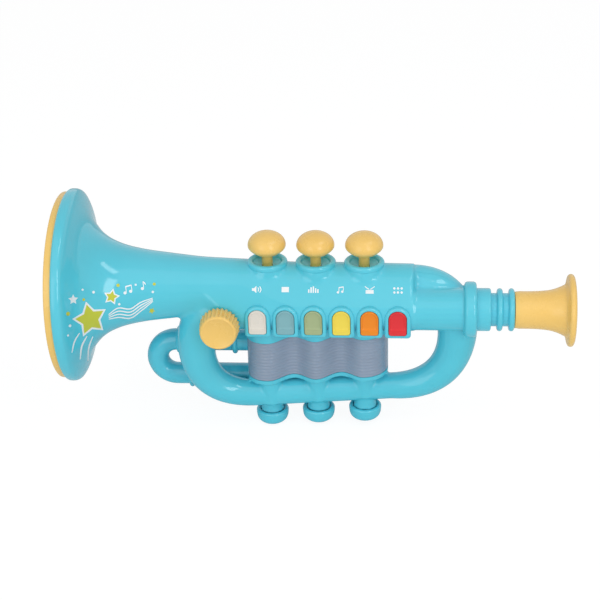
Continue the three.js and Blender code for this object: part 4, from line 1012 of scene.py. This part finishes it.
def make_grille():
    """Round grille in front of the loudspeaker, with level slots."""
    grille = rod_x("speaker_mesh", 27.7, -137.5, -135.5, 0, 0, 96)
    carve(grille, rod_x("grille_foot", 24.6, -136.5, -132.9, 0, 0, 96), "UNION")
    carve(grille, rod_x("grille_bore", 22, -135.5, -132, 0, 0, 96))
    slots, pitch, reach = 7, 5.6, 19
    for k in range(slots):
        z = (k - slots // 2) * pitch
        half = math.sqrt(reach * reach - z * z)
        slot = rounded_outline(-half, half, z - 1.2, z + 1.2, 1.15, 5)
        tool = drawn_line("grille_slot", [place(-139, across, up) for across, up in slot])
        extrude_outline((5, 0, 0))
        carve(grille, tidy_mesh(tool))
    return smooth_faces(grille, 40)


# ---------------------------------------------------------------- printed marks

def flat_shape(outline, cuts):
    """Flat face from an outline in the plane of the print, fine enough to bend."""
    line = drawn_line("ink_shape", [Vector((x, y, 0)) * MM for x, y in outline])
    select_mesh()
    bpy.ops.mesh.edge_face_add()
    bpy.ops.mesh.quads_convert_to_tris()
    if cuts:
        bpy.ops.mesh.subdivide(number_cuts=cuts)
    object_mode()
    return line


def disc(x, y, radius, cuts=0):
    return flat_shape(arc((x, y), radius, 0, 345, 23), cuts)


def star(x, y, outer, inner, turn, cuts):
    points = 5
    outline = []
    for k in range(2 * points):
        radius = inner if k % 2 else outer
        angle = math.radians(turn + 180 * k / points)
        outline.append((x + radius * math.cos(angle), y + radius * math.sin(angle)))
    return flat_shape(outline, cuts)


def stroke(points, width, taper, steps=5, cuts=0):
    """Ribbon along a smooth line that narrows to its ends."""
    line = eased(points, steps)
    last = len(line) - 1
    halves = [
        width / 2 * (taper + (1 - taper) * math.sin(math.pi * min(max(i / last, 0.02), 0.98)) ** 0.5)
        for i in range(last + 1)
    ]
    left, right = offset_line(line, halves), offset_line(line, [-half for half in halves])
    return flat_shape([*left, *reversed(right)], cuts)


PRINT_START = 60
INK_DEPTH = 0.04
KEY_MARKS_LOOK = (0, -0.945, 0.325)
BELL_MARKS_LOOK = (0.26, -0.87, 0.42)
BELL_MARKS_PLACE = (-136, -32, -8)


def printed(name, shapes, centre, outward, ground, lift=0.05):
    """Lays flat shapes onto a surface along a direction, as a thin skin of ink."""
    ink = joined(name, shapes)
    z_axis = Vector(outward).normalized()
    x_axis = Vector((0, 0, 1)).cross(z_axis).normalized()
    y_axis = z_axis.cross(x_axis)
    turn = Matrix((x_axis, y_axis, z_axis)).transposed().to_4x4()
    ink.matrix_world = Matrix.Translation(place(*centre) + z_axis * PRINT_START * MM) @ turn
    apply_modifier(
        ink, "SHRINKWRAP", target=ground, wrap_method="PROJECT", use_project_z=True,
        use_negative_direction=True, use_positive_direction=False, offset=lift * MM,
    )
    settle(ink)
    apply_modifier(ink, "SOLIDIFY", thickness=INK_DEPTH * MM, offset=0)
    tidy_mesh(ink, 0.0005)
    return smooth_faces(ink, 40)


def note(x, y, size):
    """Single note: head, stem and flag."""
    stem = x + 0.36 * size
    flag = [(stem, y + 1.9 * size), (x + 0.75 * size, y + 1.5 * size), (x + 0.95 * size, y + 0.95 * size)]
    return [
        disc(x, y, 0.42 * size, 1),
        stroke([(stem, y), (stem, y + 1.0 * size), (stem, y + 1.9 * size)], 0.2 * size, 0.9),
        stroke(flag, 0.3 * size, 0.4),
    ]


def pair_of_notes(x, y, size):
    """Two heads with stems under one beam."""
    left, right, beam = x + 0.33 * size, x + 1.83 * size, y + 1.85 * size
    second = y + 0.25 * size
    return [
        disc(x, y, 0.4 * size, 1),
        disc(x + 1.5 * size, second, 0.4 * size, 1),
        stroke([(left, y), (left, y + 1.6 * size)], 0.2 * size, 0.95),
        stroke([(right, second), (right, beam)], 0.2 * size, 0.95),
        stroke([(x + 0.25 * size, y + 1.6 * size), (x + 1.9 * size, beam)], 0.36 * size, 0.95),
    ]


def key_marks():
    """One generic pictogram above each key, as lists of flat shapes."""
    speaker = [
        flat_shape([(-3.4, -0.9), (-2.1, -0.9), (-0.5, -2.3), (-0.5, 2.3), (-2.1, 0.9), (-3.4, 0.9)], 1),
        stroke([(0.5, -1.3), (1.0, 0), (0.5, 1.3)], 0.6, 0.8),
        stroke([(1.7, -2.0), (2.5, 0), (1.7, 2.0)], 0.6, 0.8),
    ]
    square = [flat_shape([(-2.4, -1.7), (2.4, -1.7), (2.4, 1.7), (-2.4, 1.7)], 2)]
    bars = []
    for x, high in ((-3, 0.2), (-1.5, 1.6), (0, 2.2), (1.5, 1.0), (3, 0.4)):
        bars.append(stroke([(x, -2), (x, (high - 2) / 2), (x, high)], 0.9, 0.95))
    notes = pair_of_notes(-2.3, -1.5, 1.9)
    drum = [
        flat_shape([(-2.6, -2.2), (2.6, -2.2), (2.6, 0.2), (-2.6, 0.2)], 1),
        *(stroke([(3.2 * side, 2.4), (1.6 * side, 1.3), (0.4 * side, 0.6)], 0.55, 0.9) for side in (-1, 1)),
    ]
    dots = [disc(x, y, 0.75) for x in (-2.4, 0, 2.4) for y in (-1.3, 1.3)]
    return [speaker, square, bars, notes, drum, dots]


def bell_marks():
    """Stars, notes and a waving staff for the flare: white shapes and lime ones."""
    white = [
        star(-11, 0, 12.2, 6.9, 98, 6),
        star(4.5, 13, 5.6, 3.0, 72, 4),
        star(-21, 14.5, 3.4, 1.7, 85, 2),
        *note(25, 16, 2.4), *pair_of_notes(13.5, 14.5, 2.5),
        *(disc(*dot) for dot in (
            (-7, 17.5, 0.9), (9, 7.5, 0.8), (31.5, 13, 0.8), (-25, -2, 0.9), (21, 19, 0.7),
            (-14, 20, 0.7), (-27, -8, 0.7),
        )),
    ]
    for k in range(4):
        drop = 2.1 * k
        white.append(stroke([
            (1.5, 1.5 - drop * 0.5), (8, 5 - drop), (16, 3.5 - drop), (23, 7 - drop * 0.9),
            (31, 9 - drop * 0.35),
        ], 0.85, 0.5, 8, 1))
    for width, *tail in (
        (1.2, (-14, -11), (-18, -17), (-20, -26)), (1.1, (-10, -12), (-13, -19), (-14, -29)),
        (1.0, (-19, -8), (-23, -13), (-25.5, -20)),
    ):
        white.append(stroke(tail, width, 0.3, 6, 1))
    lime = [
        star(-11, 0, 10.2, 5.5, 98, 6),
        star(4.5, 13, 4.0, 2.1, 72, 4),
        star(30, 0.5, 2.2, 1.1, 60, 2),
        disc(-25.5, 6, 1.3, 1), disc(9.5, 20, 1.1), disc(33, 18, 1.0), disc(-14, 13.5, 0.9),
    ]
    return white, lime


# ---------------------------------------------------------------- finishes

def shade(red, green, blue):
    """A colour as it is seen, turned into the numbers that the shader takes."""
    values = [c / 255 for c in (red, green, blue)]
    return (*(c / 12.92 if c <= 0.04045 else ((c + 0.055) / 1.055) ** 2.4 for c in values), 1)


def make_skin_group():
    """Moulded surface: cloudy colour, uneven gloss and a fine grain with a few scratches."""
    group = bpy.data.node_groups.new("moulded_skin", "ShaderNodeTree")
    colour, number = "NodeSocketColor", "NodeSocketFloat"
    for name, kind, value in (
        ("Colour", colour, (0.5, 0.5, 0.5, 1)), ("Cloud Colour", colour, (0.5, 0.5, 0.5, 1)),
        ("Grain Scale", number, 900), ("Gloss", number, 0.15), ("Dull", number, 0.3),
    ):
        socket = group.interface.new_socket(name=name, in_out="INPUT", socket_type=kind)
        socket.default_value = value
    for name, kind in (("Colour", colour), ("Roughness", number), ("Height", number)):
        group.interface.new_socket(name=name, in_out="OUTPUT", socket_type=kind)
    given = add_node(group, "NodeGroupInput").outputs
    result = add_node(group, "NodeGroupOutput").inputs
    place_on = add_node(group, "ShaderNodeTexCoord").outputs["Object"]
    stretch = add_node(
        group, "ShaderNodeMapping", Vector=place_on, Scale=(1, 9, 14), Rotation=(0.5, 0.3, 0.8),
    )

    def noise(**values):
        return add_node(group, "ShaderNodeTexNoise", **{"Vector": place_on, **values}).outputs["Fac"]

    def spread(value, low, high, **values):
        ends = {"From_Min": low, "From_Max": high}
        return add_node(group, "ShaderNodeMapRange", Value=value, **ends, **values).outputs["Result"]

    clouds = spread(noise(Scale=25, Detail=3), 0.3, 0.7)
    tint = add_node(group, "ShaderNodeMix")
    tint.data_type = "RGBA"
    feed(group, tint.inputs["Factor"], clouds)
    feed(group, tint.inputs[6], given["Colour"])
    feed(group, tint.inputs[7], given["Cloud Colour"])
    smudge = noise(Scale=70, Detail=5, Roughness=0.62)
    gloss = spread(smudge, 0.35, 0.7, To_Min=given["Gloss"], To_Max=given["Dull"])
    grain = noise(Scale=given["Grain Scale"], Detail=2)
    scratches = noise(Vector=stretch.outputs["Vector"], Scale=60, Detail=2)
    height = calculate(group, "SUBTRACT", grain, spread(scratches, 0.68, 0.74, To_Max=0.25))
    for name, value in (("Colour", tint.outputs[2]), ("Roughness", gloss), ("Height", height)):
        feed(group, result[name], value)
    return group


def plastic(name, group, colour, cloud, gloss, dull, grain=900, bump=0.04, **shader_values):
    """Material of one moulded finish; further values go straight onto the shader."""
    finish = bpy.data.materials.new(name)
    finish.use_nodes = True
    tree = finish.node_tree
    skin = tree.nodes.new("ShaderNodeGroup")
    skin.node_tree = group
    for i, value in enumerate((colour, cloud, grain, gloss, dull)):
        feed(tree, skin.inputs[i], value)
    bumps = add_node(
        tree, "ShaderNodeBump", Strength=0.5, Distance=bump * MM, Height=skin.outputs["Height"],
    )
    shader_values.update(
        Base_Color=skin.outputs["Colour"], Roughness=skin.outputs["Roughness"],
        Normal=bumps.outputs["Normal"],
    )
    for socket, value in shader_values.items():
        feed(tree, tree.nodes["Principled BSDF"].inputs[socket.replace("_", " ")], value)
    return finish


# Colour and cloud colour of each key, from the bell to the mouthpiece.
KEY_COLOURS = {
    "white": ((228, 222, 212), (222, 216, 206)), "grey_blue": ((132, 182, 188), (126, 176, 184)),
    "green": ((170, 184, 138), (163, 178, 132)), "yellow": ((243, 221, 84), (240, 215, 76)),
    "orange": ((243, 141, 6), (240, 135, 4)), "red": ((232, 43, 50), (226, 38, 46)),
}


def make_finishes():
    group = make_skin_group()
    made = {}

    def add(name, *args, **kwargs):
        made[name] = plastic(name, group, *args, **kwargs)

    add("sky_plastic", shade(83, 201, 221), shade(90, 205, 225), 0.07, 0.15, bump=0.012)
    add("yellow_plastic", shade(244, 199, 106), shade(247, 204, 114), 0.22, 0.32, bump=0.02)
    add("casing_plastic", shade(143, 158, 179), shade(153, 167, 188), 0.16, 0.26, bump=0.02,
        Transmission_Weight=0.08)
    for name, (colour, cloud) in KEY_COLOURS.items():
        add(f"key_plastic_{name}", shade(*colour), shade(*cloud), 0.26, 0.38, bump=0.03)
    add("white_ink", shade(244, 246, 246), shade(236, 240, 242), 0.4, 0.5)
    add("lime_ink", shade(205, 208, 62), shade(196, 201, 52), 0.4, 0.5)
    add("inner_white_plastic", shade(238, 236, 230), shade(230, 228, 222), 0.35, 0.45)
    add("inner_black_plastic", shade(36, 36, 38), shade(28, 28, 30), 0.45, 0.6, grain=1400, bump=0.06)
    add("board_lacquer", shade(44, 104, 58), shade(34, 90, 48), 0.25, 0.45, grain=2200)
    add("pad_rubber", shade(152, 152, 150), shade(142, 142, 140), 0.6, 0.75, grain=1500, bump=0.06)
    add("screw_steel", shade(196, 198, 202), shade(182, 184, 190), 0.22, 0.4, grain=2600, Metallic=1.0)
    add("cell_wrap", shade(52, 84, 130), shade(44, 74, 118), 0.25, 0.35)
    add("wire_red", shade(178, 46, 46), shade(166, 40, 40), 0.35, 0.5)
    return made


SLOT_FINISH = {
    "body_blue": "sky_plastic", "trim_yellow": "yellow_plastic", "casing_grey": "casing_plastic",
    **{f"key_{name}": f"key_plastic_{name}" for name in KEY_COLOURS},
    "inner_white": "inner_white_plastic", "inner_black": "inner_black_plastic",
    "board_green": "board_lacquer", "pad_rubber": "pad_rubber", "steel": "screw_steel",
    "cell_wrap": "cell_wrap", "wire_red": "wire_red",
}


def dress(piece, slot, body, *nodes, finish=None):
    """Gives a new piece its finish, its body and the nodes that it stands for."""
    piece.data.materials.clear()
    piece.data.materials.append(finishes[finish or SLOT_FINISH[slot]])
    for face in piece.data.polygons:
        face.material_index = 0
    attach(piece, body)
    if nodes:
        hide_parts(*nodes)


def dress_nodes():
    """Procedural finishes for the solids that stay as they are."""
    by_node = {row["node"]: row["material_slot"] for row in frame["record"]["subparts"]}
    for name, node in frame["nodes"].items():
        if name not in by_node:
            continue
        finish = finishes[SLOT_FINISH[by_node[name]]]
        for holder in node.material_slots:
            holder.material = finish
        if not node.material_slots:
            node.data.materials.append(finish)


# ---------------------------------------------------------------- assembly

set_camera()
set_studio()
lay_floor()
finishes = make_finishes()
dress_nodes()

bell = make_bell()
dress(bell, "body_blue", "housing", "bell")
dress(make_bell_ring(), "trim_yellow", "housing", "bell_ring")
front_housing, rear_housing = make_shells()
dress(front_housing, "body_blue", "housing", "front_shell")
dress(rear_housing, "body_blue", "housing", "rear_shell")
dress(make_slide(), "body_blue", "housing", "slide_tube")
dress(make_neck(), "body_blue", "housing", "neck_tube")
dress(make_mouthpiece(), "trim_yellow", "housing", "mouthpiece")
dress(make_casing(), "casing_grey", "housing", "light_casing")
dress(make_grille(), "body_blue", "housing", "speaker_grille")
for i, cap in enumerate(make_buttons()):
    dress(cap, "trim_yellow", f"button_{i + 1}", f"valve_button_{i + 1}")
for i, spring in enumerate(make_springs()):
    dress(spring, "steel", "housing", f"valve_spring_{i + 1}")
    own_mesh(spring)
for i, cap in enumerate(make_bottom_caps()):
    dress(cap, "body_blue", "housing", f"bottom_cap_{i + 1}")
for i, (key, colour) in enumerate(zip(make_keys(), KEY_COLOURS)):
    dress(key, f"key_{colour}", f"key_body_{i + 1}", f"key_{i + 1}")
dress(make_knob(), "trim_yellow", "knob_body", "knob")
dress(make_door(), "body_blue", "door_body", "battery_door")
*shell_screws, bay_screw = make_screws()
for i, screw in enumerate(shell_screws):
    dress(screw, "steel", "housing", f"housing_screw_{i + 1}")
dress(bay_screw, "steel", "door_body", "door_screw")

for i, shapes in enumerate(key_marks()):
    mark = printed(f"key_mark_{i + 1}", shapes, (key_x(i), 0, 0), KEY_MARKS_LOOK, front_housing)
    dress(mark, "inner_white", "housing", finish="white_ink")
white_shapes, lime_shapes = bell_marks()
for colour, shapes, lift in (("white", white_shapes, 0.05), ("lime", lime_shapes, 0.1)):
    mark = printed(f"bell_print_{colour}", shapes, BELL_MARKS_PLACE, BELL_MARKS_LOOK, bell, lift)
    dress(mark, "inner_white", "housing", finish=f"{colour}_ink")
